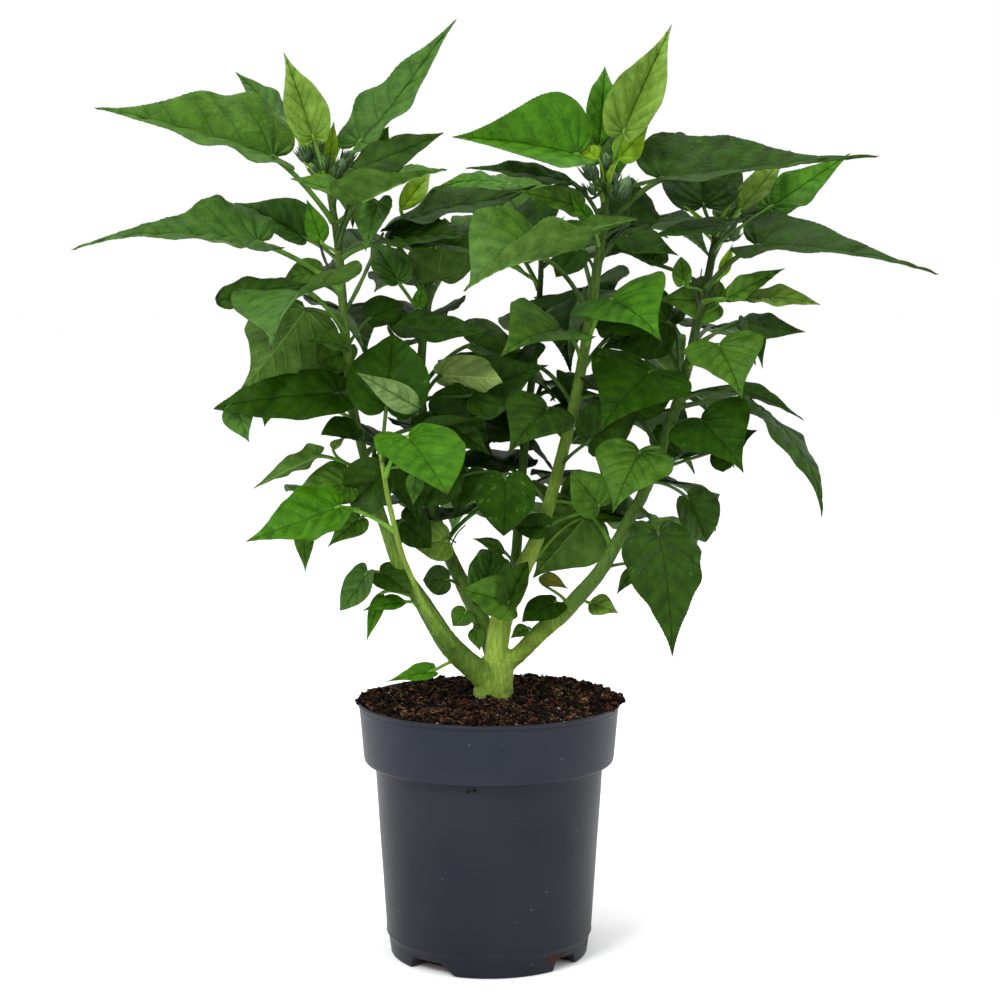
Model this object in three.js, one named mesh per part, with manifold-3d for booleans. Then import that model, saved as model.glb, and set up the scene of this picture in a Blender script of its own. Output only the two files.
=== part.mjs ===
// Potted hibiscus shrub: a round nursery pot full of soil, a short trunk that
// forks into tapering stems, and masses of large pointed leaves round them.
// Millimetres, +Z up. The origin is the centre of the pot's flat underside;
// +X is to the right of the front view and -Y is the front.
import * as THREE from "three";
import { mergeVertices } from "three/addons/utils/BufferGeometryUtils.js";
import Module from "manifold-3d";

const wasm = await Module();
wasm.setup();

// ---- driving dimensions (mm) ----
const POT_HEIGHT = 184.5;
const RIM_RADIUS = 95; // outside of the collar at the top
const COLLAR_FOOT_RADIUS = 90.5; // outside of the collar at its lower edge
const COLLAR_DEPTH = 46;
const CHAMFER = 4;
const BODY_TOP_RADIUS = 82.5;
const BODY_FOOT_RADIUS = 73.5;
const RING_HEIGHT = 16; // raised ring above the foot
const FOOT_RADIUS = 71.5;
const WALL = 2.2;
const FLOOR = 4;
const NOTCHES = 4;
const NOTCH_WIDTH = 27;
const NOTCH_HEIGHT = 8;
const NOTCH_DEPTH = 16;
const NOTCH_FIRST_DEG = -36.7; // from the front, towards +X
const GAP = 0.35; // clearance between neighbouring pieces

const SOIL_LEVEL = 183.5;
const SOIL_MOUND = 5;

const LEAF_THICK = 4;
const PETIOLE = 4.2;

const SLEEVE = 2.5; // how far the core of a mass stands out from its stem
const STEM_SIDES = 6;
const CANOPY_TOLERANCE = 1.2;
const TWIG = 4;
const CELL_GAP = 2.6; // between neighbouring masses
const MASS_TOLERANCE = 1.2; // how closely a mass keeps to its leaves
const SMALLEST_PIECE = 1500; // mm3; offcuts below this are dropped

// ---- stems: sections of [x, y, z, radius] along each limb ----
const STEMS = {
  "trunk": [[2.9, 0, 182, 15.5], [3.7, 0, 191.6, 13.8], [5.8, 0, 204.8, 13], [8, 0, 217.2, 12]],
  "center": [[8, 0, 212.1, 11.6], [10.2, 2, 244, 8.6], [23.2, 10, 275.7, 7], [35.6, 17, 301.2, 6], [48.1, 24, 342.2, 5.6], [61, 24, 393.2, 5], [71.5, 20, 451.2, 4.5], [78.2, 14, 499.9, 4], [82.1, 10, 533.2, 3.6], [83.3, 8, 560.6, 2.8]],
  "left": [[0.8, -2, 197.8, 10.5], [-17.2, -7, 218.5, 10.6], [-30.7, -14, 238.6, 9.6], [-46.1, -20, 265.5, 8.2], [-64.3, -24, 297.5, 6.9], [-73.3, -24, 322.5, 6.1], [-82.5, -21, 354.9, 5.4], [-91, -17, 385, 4.9], [-98.2, -12, 416.6, 4.4], [-102.6, -6, 458.9, 4], [-104.7, -3, 494.1, 3.7], [-108.9, 0, 529.4, 3.3], [-113.6, 0, 558.8, 2.6]],
  "shoot": [[-26.2, -22, 232, 2.7], [-34.6, -26, 245.6, 2.6], [-45.7, -30, 263.4, 2.5], [-61.5, -37, 299.2, 2.4], [-68.1, -42, 325.8, 2.3], [-72.6, -47, 350.2, 2.2], [-75, -52, 370.1, 1.9]],
  "midleft": [[3.6, 8, 218, 7.4], [-6.6, 13, 242.2, 7.1], [-22.7, 22, 273.3, 6.3], [-34.5, 27, 295.5, 5.6], [-40.4, 31, 319.4, 5.1], [-45.6, 37, 359.4, 4.5], [-50, 42, 406.8, 4.1], [-48.5, 44, 443.4, 3.7], [-43.2, 45, 479.9, 3.2], [-40.2, 44, 512.5, 2.7]],
  "right": [[10.2, 0, 212.1, 9], [19.6, -2, 219.8, 8.8], [34.6, -6, 231.4, 8.1], [53.9, -9, 247.9, 7.6], [73.8, -12, 273.7, 7.1], [91.5, -12, 301.1, 6.6], [111.4, -9, 338.1, 6], [127.8, -5, 380.7, 5.4], [141.4, 0, 423.2, 4.9], [150.7, 4, 464.4, 4.3], [157.8, 7, 495.6, 3.7], [163.3, 8, 521.1, 2.9]],
  "back": [[15.3, 10, 255.9, 4.6], [19.8, 34, 285.8, 4.3], [22.9, 54, 324.4, 4], [27.5, 72, 375.3, 3.6], [33.6, 84, 427.3, 3.1], [38.1, 91, 479.7, 2.6], [39.6, 93, 520.9, 2.2]],
};

// ---- leaves, stem by stem ----
// name, place along the stem (0 to 1), the petiole's azimuth, elevation and
// length, the blade's azimuth and elevation, its length and width, its roll
// about its midrib, the rise of its two halves, the bow of the midrib, the
// twist from base to tip (degrees), the droop of the tip, and its outline
const LEAVES = {
  "center": [
    ["L43a", 0.125, -123, 20, 29, 81, 42, 52, 45, 9, 49, 0.04, 3, 0, "hd"],
    ["L37", 0.194, 36, 35, 77, -137, -37, 67, 60, 142, 10, 0.06, 0, 0, "ab"],
    ["X20", 0.347, 25, 18, 35, 46, -8, 104, 69, 18, 23, 0.05, -14, 0.07, "am"],
    ["X23", 0.507, 45, 13, 60, 49, -23, 108, 82, -18, 22, 0.07, 4, 0.05, "ae"],
    ["C13", 0.569, 10, 6, 35, 21, 10, 56, 60, 36, 14, 0.05, 0, 0, "am"],
    ["C1", 0.625, -109, 22, 59, -133, -13, 63, 74, -12, 20, 0.07, 0, 0.05, "am"],
    ["X26", 0.667, 91, 28, 60, 96, -32, 115, 89, -21, 10, 0.08, 13, 0.07, "ad"],
    ["L72", 0.675, -116, 31, 91, -121, -12, 107, 99, -9, 41, 0.05, 57, 0, "au"],
    ["X29", 0.827, 150, 11, 50, 141, -18, 93, 69, -16, 22, 0.05, -2, 0.07, "ae"],
    ["L57", 0.844, -31, 35, 62, -8, 9, 149, 84, 10, 28, 0.04, -55, 0.04, "am"],
    ["L70", 0.863, -145, 47, 40, -166, 7, 78, 21, -24, 20, 0.03, -2, 0, "nd"],
    ["L66", 0.919, -137, 50, 44, -168, 7, 90, 86, -32, 40, 0.04, -23, 0, "ab"],
    ["L67", 0.944, 103, 65, 39, 80, 63, 67, 29, 6, 41, 0.13, -11, 0, "nm"],
    ["L68", 0.975, -54, 61, 42, 40, 59, 90, 55, 23, 49, 0.04, 26, 0, "al"],
  ],
  "left": [
    ["X0", 0.332, 65, 16, 53, 52, -3, 90, 67, -14, 17, 0.06, -13, 0.07, "ad"],
    ["X3", 0.527, 43, 20, 52, 57, -17, 108, 72, -16, 16, 0.04, -7, 0.04, "ae"],
    ["L24", 0.625, -150, 30, 17, -149, -14, 95, 74, -5, 13, 0.04, -7, 0.05, "ad"],
    ["X6", 0.722, 98, 19, 60, 82, -20, 104, 69, -1, 22, 0.08, 3, 0.06, "ae"],
    ["L20", 0.731, -125, 36, 50, -100, -19, 102, 97, 11, 16, 0.07, 40, 0.04, "ag"],
    ["L22", 0.75, -176, 15, 28, -119, -34, 88, 83, 155, 38, 0.05, 0, 0, "au"],
    ["L8", 0.8, -165, 27, 69, -160, 0, 126, 112, 15, 27, 0.03, -20, 0.04, "ag"],
    ["L9", 0.844, 136, 26, 44, 156, 24, 63, 47, -32, 43, 0.05, 2, 0, "am"],
    ["L7", 0.863, -68, 35, 57, -36, 16, 79, 70, -12, 30, 0.03, 10, 0.01, "au"],
    ["L1", 0.912, -171, 41, 64, -160, 17, 124, 117, -21, 29, 0.02, 71, -0.01, "am"],
    ["X9", 0.917, 95, 49, 39, 82, 19, 93, 69, 12, 18, 0.03, -4, 0.09, "am"],
    ["L6", 0.944, -58, 42, 35, -16, 20, 73, 26, 25, 19, -0.02, 27, 0, "nm"],
    ["L5", 0.956, 13, 63, 46, 4, 54, 110, 51, 5, 21, -0.04, 31, 0.05, "am"],
    ["L3", 0.975, -131, 66, 40, 130, 60, 71, 42, -18, 44, 0.05, 1, 0, "al"],
  ],
  "shoot": [
    ["L29", 0.575, -154, 24, 47, -166, -19, 68, 62, -4, 10, 0, -30, 0, "ab"],
    ["L26", 0.831, -58, 43, 45, -59, -32, 65, 63, 0, 15, 0.04, -3, 0, "hb"],
    ["L25", 0.925, -65, 77, 39, 82, 62, 57, 60, 11, 17, 0.04, -21, 0, "he"],
  ],
  "midleft": [
    ["X12", 0.467, 91, 42, 58, 72, -4, 110, 84, 10, 20, 0.04, 2, 0.04, "am"],
    ["L32", 0.562, -111, 4, 45, -21, -76, 55, 52, 12, 18, 0.05, 0, 0, "ad"],
    ["L34c", 0.6, -58, 57, 15, -15, -33, 56, 56, 39, 15, 0.05, 0, 0, "ad"],
    ["L34b", 0.65, -21, 49, 23, -52, -2, 75, 41, -93, 47, 0.12, -23, 0, "au"],
    ["X15", 0.668, 38, 33, 58, 35, -29, 90, 66, 21, 17, 0.07, 8, 0.03, "am"],
    ["L19", 0.706, -115, 37, 59, -14, -3, 73, 38, 11, 14, -0.05, 13, 0, "nd"],
    ["L14", 0.869, -113, 33, 78, -23, 0, 67, 50, 5, 16, 0.04, 24, 0, "ad"],
    ["X18", 0.869, 37, 48, 57, 54, -2, 93, 61, 19, 22, 0.03, -4, 0.07, "am"],
    ["L13", 0.887, -116, 42, 67, 5, 10, 104, 64, -15, 14, 0.07, 51, -0.12, "ad"],
    ["L66b", 0.956, -3, 45, 80, -161, -6, 62, 31, 2, 3, 0.08, -46, 0, "ab"],
  ],
  "right": [
    ["X33", 0.44, 115, 28, 57, 97, -20, 110, 78, 10, 25, 0.05, -4, 0.07, "am"],
    ["L52", 0.519, -65, -28, 35, -64, -76, 87, 65, -26, 4, 0.04, 33, 0, "ae"],
    ["X36", 0.601, 126, 40, 60, 115, -3, 113, 79, 21, 13, 0.07, -13, 0.02, "ad"],
    ["C7", 0.606, -127, 1, 27, -133, -53, 50, 60, -8, 14, 0.05, 0, 0.04, "am"],
    ["L54", 0.669, 3, -1, 63, -54, -43, 96, 52, -35, 0, 0.05, 23, 0.09, "ad"],
    ["C9", 0.681, 100, 61, 63, 157, -22, 56, 70, -38, 14, 0.06, 0, 0, "ad"],
    ["C3", 0.706, -137, 15, 36, -135, -36, 65, 80, -12, 16, 0.05, 0, 0.05, "ae"],
    ["X39", 0.762, 71, 12, 58, 64, -12, 106, 70, -6, 12, 0.06, -2, 0.09, "ae"],
    ["L61", 0.863, -34, 25, 60, -24, -3, 120, 92, -29, 23, 0.04, 27, 0.03, "ag"],
    ["L62", 0.95, -67, 34, 36, -171, -7, 62, 47, 14, 12, -0.03, -36, 0.05, "ad"],
    ["L60", 0.956, 14, 35, 52, 2, 34, 69, 38, 12, 8, 0, 46, 0, "ab"],
    ["L58", 0.975, 123, 61, 30, 90, 50, 59, 62, -4, 20, 0.01, 1, 0, "he"],
  ],
  "back": [
    ["X42", 0.214, 93, 25, 54, 87, -22, 94, 69, -22, 21, 0.05, -9, 0.01, "ad"],
    ["X45", 0.419, 83, 32, 54, 87, -5, 105, 71, 9, 23, 0.09, -10, 0.09, "ad"],
    ["X48", 0.624, 136, 29, 40, 116, -21, 112, 74, -10, 18, 0.04, 8, 0.01, "ad"],
    ["X51", 0.829, 126, 44, 59, 110, -2, 101, 79, -9, 20, 0.08, -7, 0.03, "am"],
  ],
};

// ---- masses: a name and the middle of the space each fills ----
const MASSES = {
  "foliage_left_top": [-130, 0, 575],
  "foliage_left_upper": [-155, -20, 495],
  "foliage_left_middle": [-140, -20, 400],
  "foliage_left_lower": [-100, -30, 300],
  "foliage_front_shoot": [-55, -85, 375],
  "foliage_inner_left_top": [-45, 60, 520],
  "foliage_inner_left_lower": [-45, 80, 370],
  "foliage_centre_top": [75, 10, 610],
  "foliage_centre_upper": [50, -40, 515],
  "foliage_centre_middle": [75, -35, 415],
  "foliage_centre_lower": [35, -10, 310],
  "foliage_right_top": [180, 10, 550],
  "foliage_right_upper": [190, -20, 470],
  "foliage_right_lower": [140, 0, 340],
  "foliage_back_top": [60, 140, 500],
  "foliage_back_lower": [50, 110, 360],
};

const rad = (a) => (a * Math.PI) / 180;
const wobble = (a, b, c) => Math.sin(a * 12.9898 + b * 78.233 + c * 37.719) * 0.5 + Math.sin(a * 4.31 - b * 2.17 + c * 5.3) * 0.5;
const heading = (az, el) => new THREE.Vector3(Math.cos(rad(el)) * Math.cos(rad(az)), Math.cos(rad(el)) * Math.sin(rad(az)), Math.sin(rad(el)));

// ---- joining and cutting ----
function solid(geometry) {
  const g = geometry.clone();
  g.deleteAttribute("normal");
  g.deleteAttribute("uv");
  const merged = mergeVertices(g, 1e-4);
  const pos = merged.getAttribute("position");
  const idx = Array.from(merged.index.array);
  const tris = [];
  for (let i = 0; i < idx.length; i += 3) {
    const [a, b, c] = [idx[i], idx[i + 1], idx[i + 2]];
    if (a !== b && b !== c && a !== c) tris.push(a, b, c);
  }
  let vol = 0;
  const v = (i) => new THREE.Vector3().fromBufferAttribute(pos, i);
  for (let i = 0; i < tris.length; i += 3) vol += v(tris[i]).dot(v(tris[i + 1]).cross(v(tris[i + 2])));
  if (vol < 0) for (let i = 0; i < tris.length; i += 3) [tris[i + 1], tris[i + 2]] = [tris[i + 2], tris[i + 1]];
  return new wasm.Manifold(new wasm.Mesh({ numProp: 3, vertProperties: new Float32Array(pos.array), triVerts: new Uint32Array(tris) }));
}
const joined = (list) => list.reduce((a, b) => a.add(b));
// whether every edge still belongs to just two faces once coincident corners are one
function sound(m) {
  const mesh = m.getMesh();
  const seen = new Map();
  const id = [];
  for (let i = 0; i < mesh.vertProperties.length / mesh.numProp; i++) {
    const key = [0, 1, 2].map((k) => Math.round(mesh.vertProperties[i * mesh.numProp + k] * 1e4)).join();
    if (!seen.has(key)) seen.set(key, seen.size);
    id.push(seen.get(key));
  }
  return seen.size === id.length;
}
const biggest = (m) => m.decompose().reduce((a, b) => (b.volume() > a.volume() ? b : a));
function toMesh(name, m, material) {
  const mesh = m.getMesh();
  const g = new THREE.BufferGeometry();
  const verts = new Float32Array((mesh.vertProperties.length / mesh.numProp) * 3);
  for (let i = 0; i < verts.length / 3; i++) for (let k = 0; k < 3; k++) verts[3 * i + k] = mesh.vertProperties[i * mesh.numProp + k];
  g.setAttribute("position", new THREE.BufferAttribute(verts, 3));
  g.setIndex(Array.from(mesh.triVerts));
  g.computeVertexNormals();
  const out = new THREE.Mesh(g, material);
  out.name = name;
  return out;
}

// ---- limbs ----
const curves = {};
for (const [name, rows] of Object.entries(STEMS)) curves[name] = rows.map((r) => new THREE.Vector4(...r));
function along(name, t) {
  // Catmull-Rom through the sections, with the end sections carried on
  const p = curves[name];
  const n = p.length - 1;
  const i = Math.min(Math.floor(t * n), n - 1);
  const f = t * n - i;
  const at = (k) => (k < 0 ? p[0].clone().multiplyScalar(2).sub(p[1]) : k > n ? p[n].clone().multiplyScalar(2).sub(p[n - 1]) : p[k]);
  const [a, b, c, d] = [at(i - 1), at(i), at(i + 1), at(i + 2)];
  const g = (k) => 0.5 * (2 * b[k] + (c[k] - a[k]) * f + (2 * a[k] - 5 * b[k] + 4 * c[k] - d[k]) * f * f + (3 * b[k] - a[k] - 3 * c[k] + d[k]) * f ** 3);
  return { at: new THREE.Vector3(g("x"), g("y"), g("z")), r: Math.max(g("w"), 1.2) };
}
// a closed limb between two places on a stem: a cylinder's rings laid along the
// curve, each of its own radius
function limb(name, t0, t1, rings, radiusAt, sides = STEM_SIDES, endGrow = 0) {
  const g = new THREE.CylinderGeometry(1, 1, 1, sides, rings, false);
  const pos = g.getAttribute("position");
  for (let i = 0; i < pos.count; i++) {
    const u = pos.getY(i) + 0.5;
    const t = t0 + (t1 - t0) * u;
    const c = along(name, t);
    const fwd = along(name, Math.min(t + 0.01, 1)).at.sub(along(name, Math.max(t - 0.01, 0)).at).normalize();
    const side = new THREE.Vector3(0, -1, 0).cross(fwd).normalize();
    const other = fwd.clone().cross(side);
    const r = radiusAt(t, c.r);
    const p = c.at.addScaledVector(side, pos.getX(i) * r).addScaledVector(other, pos.getZ(i) * r);
    if (endGrow && (u < 1e-6 || u > 1 - 1e-6)) p.addScaledVector(fwd, u < 0.5 ? -endGrow : endGrow);
    pos.setXYZ(i, p.x, p.y, p.z);
  }
  return solid(g);
}
const rings = { trunk: 3, center: 4, left: 4, shoot: 4, midleft: 4, right: 6, back: 3 };
const label = { trunk: "trunk", center: "stem_centre", left: "stem_left", shoot: "shoot_front", midleft: "stem_inner_left", right: "stem_right", back: "stem_back" };
const stemEnd = { trunk: 1, center: 0.26, left: 0.22, shoot: 0.42, midleft: 0.3, right: 0.36, back: 0.25 };
const flare = (t) => 1 + 0.12 * Math.max(0, 1 - t * 5);
const limbs = {};
const fatLimbs = {};
for (const name of Object.keys(STEMS)) {
  const plain = (t, r) => (name === "trunk" ? r * flare(t) : r);
  limbs[name] = limb(name, 0, stemEnd[name], rings[name], plain);
  fatLimbs[name] = limb(name, 0, stemEnd[name], rings[name], (t, r) => plain(t, r) + GAP / Math.cos(Math.PI / STEM_SIDES), STEM_SIDES, GAP + 0.1);
}
// the trunk stands flat on the soil
limbs.trunk = limbs.trunk.trimByPlane([0, 0, 1], SOIL_LEVEL);
const order = ["trunk", "center", "left", "right", "midleft", "shoot", "back"];
order.forEach((name, i) => {
  for (const before of order.slice(0, i)) limbs[name] = limbs[name].subtract(fatLimbs[before]);
  limbs[name] = biggest(limbs[name].simplify(0.02));
});
const allFat = joined(Object.values(fatLimbs));

// ---- one leaf with its petiole: a box bent to the blade's shape ----
const OUTLINE = {
  a: [[-0.05, 0.55], [0.19, 1.0], [0.6, 0.5], [1, 0.05]],
  h: [[-0.08, 0.55], [0.26, 1.0], [0.68, 0.7], [1, 0.08]],
  n: [[0.0, 0.25], [0.26, 1.0], [0.66, 0.58], [1, 0.07]],
};
const UP = new THREE.Vector3(0, -0.3, 0.954);
function leaf(stem, row) {
  const [, t, paz, pel, plen, az, el, len, wid, roll, fold, sag, twist, hook, kind] = row;
  const root = along(stem, t).at;
  const base = root.clone().addScaledVector(heading(paz, pel), plen);
  const c = heading(az, el);
  const ref = UP.clone().addScaledVector(c, -UP.dot(c)).normalize();
  const n = ref.clone().multiplyScalar(Math.cos(rad(roll))).addScaledVector(c.clone().cross(ref), Math.sin(rad(roll)));
  const outline = OUTLINE[kind[0]];
  const steps = outline.length - 1;
  const g = new THREE.BoxGeometry(1, 1, 1, steps, 1, 1);
  const pos = g.getAttribute("position");
  for (let i = 0; i < pos.count; i++) {
    const [x, w] = outline[Math.round((pos.getX(i) + 0.5) * steps)];
    const side = Math.sign(pos.getY(i));
    const lift = pos.getZ(i) * LEAF_THICK;
    const a = rad(twist) * x;
    const s0 = c.clone().cross(n);
    const nn = n.clone().multiplyScalar(Math.cos(a)).addScaledVector(s0, Math.sin(a));
    const ss = s0.clone().multiplyScalar(Math.cos(a)).addScaledVector(n, -Math.sin(a));
    const y = Math.max(w * wid * 0.5, PETIOLE / 2);
    const bow = x > 0 ? 4 * sag * x * (1 - x) : 4 * sag * x;
    const droop = Math.max(0, (x - 0.55) / 0.45) ** 2 * hook;
    const p = base.clone().addScaledVector(c, x * len).addScaledVector(n, (bow - droop) * len);
    p.addScaledVector(ss, side * y * Math.cos(rad(fold))).addScaledVector(nn, 0.5 * y * Math.sin(rad(fold)) + lift);
    pos.setXYZ(i, p.x, p.y, p.z);
  }
  const blade = solid(g);
  const lift = 0.25 * wid * Math.sin(rad(fold));
  return blade.add(bar(root, base.clone().addScaledVector(c, 0.14 * len).addScaledVector(n, lift), PETIOLE));
}
function bar(a, b, w) {
  const d = b.clone().sub(a);
  const g = new THREE.BoxGeometry(w, w, d.length());
  g.applyQuaternion(new THREE.Quaternion().setFromUnitVectors(new THREE.Vector3(0, 0, 1), d.clone().normalize()));
  const m = a.clone().add(b).multiplyScalar(0.5);
  g.translate(m.x, m.y, m.z);
  return solid(g);
}

// ---- masses of foliage ----
const blades = [];
for (const [stem, list] of Object.entries(LEAVES)) {
  for (const row of list) {

    const m = leaf(stem, row);
    blades.push({ m, box: m.boundingBox(), name: row[0] });
  }
}
const centres = Object.entries(MASSES).map(([name, c]) => ({ name, c: new THREE.Vector3(...c) }));
function withinCell(m, cell) {
  // the part of m nearer to this mass's middle than to any other's
  for (const other of centres) {
    if (other === cell || m.isEmpty()) continue;
    const n = cell.c.clone().sub(other.c);
    const mid = cell.c.clone().add(other.c).multiplyScalar(0.5);
    const len = n.length();
    n.divideScalar(len);
    m = m.trimByPlane([n.x, n.y, n.z], n.dot(mid) + CELL_GAP / 2);
  }
  return m;
}
function nearestOnStem(p, cell) {
  let best = null;
  for (const name of Object.keys(STEMS)) {
    if (name === "trunk") continue;
    for (let t = stemEnd[name] + 0.04; t <= 0.98; t += 0.02) {
      const s = along(name, t).at;
      const inside = centres.every((o) => o === cell || s.distanceTo(cell.c) < s.distanceTo(o.c) - 2);
      const d = s.distanceTo(p);
      if (inside && (!best || d < best.d)) best = { d, s, name, t };
    }
  }
  return best;
}
function centreOf(m) {
  // a point inside a fragment: the middle of its largest triangle, set inwards
  const mesh = m.getMesh();
  let best = null;
  const v = (i) => new THREE.Vector3(mesh.vertProperties[i * mesh.numProp], mesh.vertProperties[i * mesh.numProp + 1], mesh.vertProperties[i * mesh.numProp + 2]);
  for (let i = 0; i < mesh.triVerts.length; i += 3) {
    const [a, b, c] = [v(mesh.triVerts[i]), v(mesh.triVerts[i + 1]), v(mesh.triVerts[i + 2])];
    const n = b.clone().sub(a).cross(c.clone().sub(a));
    const area = n.length();
    if (!best || area > best.area) best = { area, p: a.add(b).add(c).divideScalar(3).addScaledVector(n.normalize(), -LEAF_THICK / 2) };
  }
  return best.p;
}
const foliage = {};
const canopy = joined(blades.map((b) => b.m)).simplify(CANOPY_TOLERANCE);
for (const cell of centres) {
  const parts = withinCell(canopy, cell)
    .decompose()
    .filter((p) => p.volume() > SMALLEST_PIECE);
  // the core: an uneven sleeve round each stem that runs through the space
  const cores = [];
  for (const name of Object.keys(STEMS)) {
    if (name === "trunk") continue;
    const inside = [];
    for (let t = stemEnd[name] + 0.01; t <= 1.0001; t += 0.01) {
      const s = along(name, Math.min(t, 1)).at;
      if (centres.every((o) => o === cell || s.distanceTo(cell.c) < s.distanceTo(o.c))) inside.push(Math.min(t, 1));
    }
    if (inside.length < 4) continue;
    const [t0, t1] = [inside[0], inside[inside.length - 1]];
    const count = Math.max(1, Math.round((t1 - t0) * 7));
    cores.push(withinCell(limb(name, t0, t1, count, (t, r) => r + SLEEVE + 1.2 * wobble(t * 9, name.length, cell.c.x), 5, 2), cell));
  }
  let m = joined([...parts, ...cores].filter((x) => !x.isEmpty()));
  for (let pass = 0; pass < 3; pass++) {
    // pieces that stand free of the core are carried by twigs
    const pieces = m.decompose().filter((p) => p.volume() > SMALLEST_PIECE).sort((a, b) => b.volume() - a.volume());
    const twigs = [];
    for (const p of pieces.slice(1)) {
      const at = centreOf(p);
      const near = pass === 0 ? nearestOnStem(at, cell) : null;
      const to = near ? near.s : centreOf(pieces[0]);
      twigs.push(withinCell(bar(at, to.clone().addScaledVector(to.clone().sub(at).normalize(), 3), TWIG), cell));
    }
    if (!twigs.length) break;
    m = joined([m, ...twigs]);
  }
  const whole = biggest(m);
  for (let tolerance = MASS_TOLERANCE; tolerance > 0.05; tolerance -= 0.07) {
    m = biggest(biggest(whole.simplify(tolerance)).subtract(allFat).simplify(0.05));
    if (sound(m)) break;
  }
  foliage[cell.name] = { m };
}

// ---- pot ----
const ringTop = RING_HEIGHT + 1.2;
const potProfile = [
  [0, 0], [FOOT_RADIUS - 1, 0], [FOOT_RADIUS, 1], [BODY_FOOT_RADIUS - 0.3, RING_HEIGHT - 1.2], [BODY_FOOT_RADIUS + 0.6, RING_HEIGHT], [BODY_FOOT_RADIUS + 0.1, ringTop],
  [BODY_TOP_RADIUS, POT_HEIGHT - COLLAR_DEPTH - CHAMFER], [COLLAR_FOOT_RADIUS, POT_HEIGHT - COLLAR_DEPTH], [RIM_RADIUS, POT_HEIGHT - 1.6], [RIM_RADIUS - 0.8, POT_HEIGHT],
  [RIM_RADIUS - WALL, POT_HEIGHT], [COLLAR_FOOT_RADIUS - WALL, POT_HEIGHT - COLLAR_DEPTH], [BODY_TOP_RADIUS - WALL, POT_HEIGHT - COLLAR_DEPTH - CHAMFER - 1], [FOOT_RADIUS - WALL + 0.4, FLOOR], [0, FLOOR],
];
const lathe = (profile, n) => {
  const g = new THREE.LatheGeometry(profile.map(([r, z]) => new THREE.Vector2(r, z)), n);
  g.rotateX(Math.PI / 2);
  return solid(g);
};
const ROUND = 28;
let pot = lathe(potProfile, ROUND);
for (let k = 0; k < NOTCHES; k++) {
  const a = rad(NOTCH_FIRST_DEG + (360 / NOTCHES) * k);
  // an arched drainage notch through the foot of the wall
  const arch = new THREE.Shape();
  arch.moveTo(-NOTCH_WIDTH / 2, -2);
  arch.lineTo(NOTCH_WIDTH / 2, -2);
  arch.lineTo(NOTCH_WIDTH / 2 - 1.5, NOTCH_HEIGHT * 0.6);
  arch.lineTo(NOTCH_WIDTH / 5, NOTCH_HEIGHT);
  arch.lineTo(-NOTCH_WIDTH / 5, NOTCH_HEIGHT);
  arch.lineTo(-NOTCH_WIDTH / 2 + 1.5, NOTCH_HEIGHT * 0.6);
  const g = new THREE.ExtrudeGeometry(arch, { depth: NOTCH_DEPTH + 6, bevelEnabled: false });
  g.rotateX(Math.PI / 2);
  g.translate(0, -(FOOT_RADIUS - NOTCH_DEPTH), 0);
  g.rotateZ(a);
  pot = pot.subtract(solid(g));
}

// ---- soil: fills the pot and stands in an uneven heap above the rim ----
const inner = (z) => {
  const zc = POT_HEIGHT - COLLAR_DEPTH;
  const zb = zc - CHAMFER - 1;
  if (z >= zc) return COLLAR_FOOT_RADIUS - WALL + ((RIM_RADIUS - COLLAR_FOOT_RADIUS) * (z - zc)) / COLLAR_DEPTH;
  if (z >= zb) return BODY_TOP_RADIUS - WALL + ((COLLAR_FOOT_RADIUS - BODY_TOP_RADIUS) * (z - zb)) / (CHAMFER + 1);
  return FOOT_RADIUS - WALL + 0.4 + ((BODY_TOP_RADIUS - FOOT_RADIUS - 0.4) * (z - FLOOR)) / (zb - FLOOR);
};
const soilBase = NOTCH_HEIGHT + 1;
const soilProfile = [[0, soilBase], [inner(soilBase) - GAP, soilBase], [inner(133.4) - GAP - 0.1, 133.8], [inner(138.5) - GAP - 0.1, 138.8], [inner(POT_HEIGHT - 3) - GAP, POT_HEIGHT - 3], [90, 185.5], [72, 186], [48, 185.5], [24, SOIL_LEVEL], [0, SOIL_LEVEL]];
const soilGeometry = new THREE.LatheGeometry(soilProfile.map(([r, z]) => new THREE.Vector2(r, z)), ROUND);
soilGeometry.rotateX(Math.PI / 2);
{
  const pos = soilGeometry.getAttribute("position");
  for (let i = 0; i < pos.count; i++) {
    const [x, y, z] = [pos.getX(i), pos.getY(i), pos.getZ(i)];
    const r = Math.hypot(x, y);
    if (z > POT_HEIGHT - 1 && r > 30) {
      const lean = 0.5 + 0.5 * Math.cos(Math.atan2(y, x) - rad(25));
      pos.setZ(i, z - 3.5 + SOIL_MOUND * lean + 2.2 * wobble(Math.round(x), Math.round(y), 1));
    }
  }
}
let soil = solid(soilGeometry).subtract(fatLimbs.trunk).subtract(allFat);
soil = biggest(soil.simplify(0.05));

// ---- the scene graph ----
const finish = (color, roughness) => new THREE.MeshStandardMaterial({ color, roughness, metalness: 0 });
const materials = { pot: finish(0x3f434c, 0.45), soil: finish(0x2e1d14, 0.95), trunk: finish(0x8fb15a, 0.7), stem: finish(0x5c8a3c, 0.6), leaf: finish(0x3c7a28, 0.5) };
const plant = new THREE.Group();
const pieces = new THREE.Group();
pieces.add(toMesh("pot", pot, materials.pot));
pieces.add(toMesh("soil", soil, materials.soil));
const woody = new THREE.Group();
for (const name of order) woody.add(toMesh(label[name], limbs[name], name === "trunk" ? materials.trunk : materials.stem));
const crown = new THREE.Group();
for (const [name, { m }] of Object.entries(foliage)) crown.add(toMesh(name, m, materials.leaf));
plant.add(pieces, woody, crown);

export default plant;
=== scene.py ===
import math
import zlib

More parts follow.
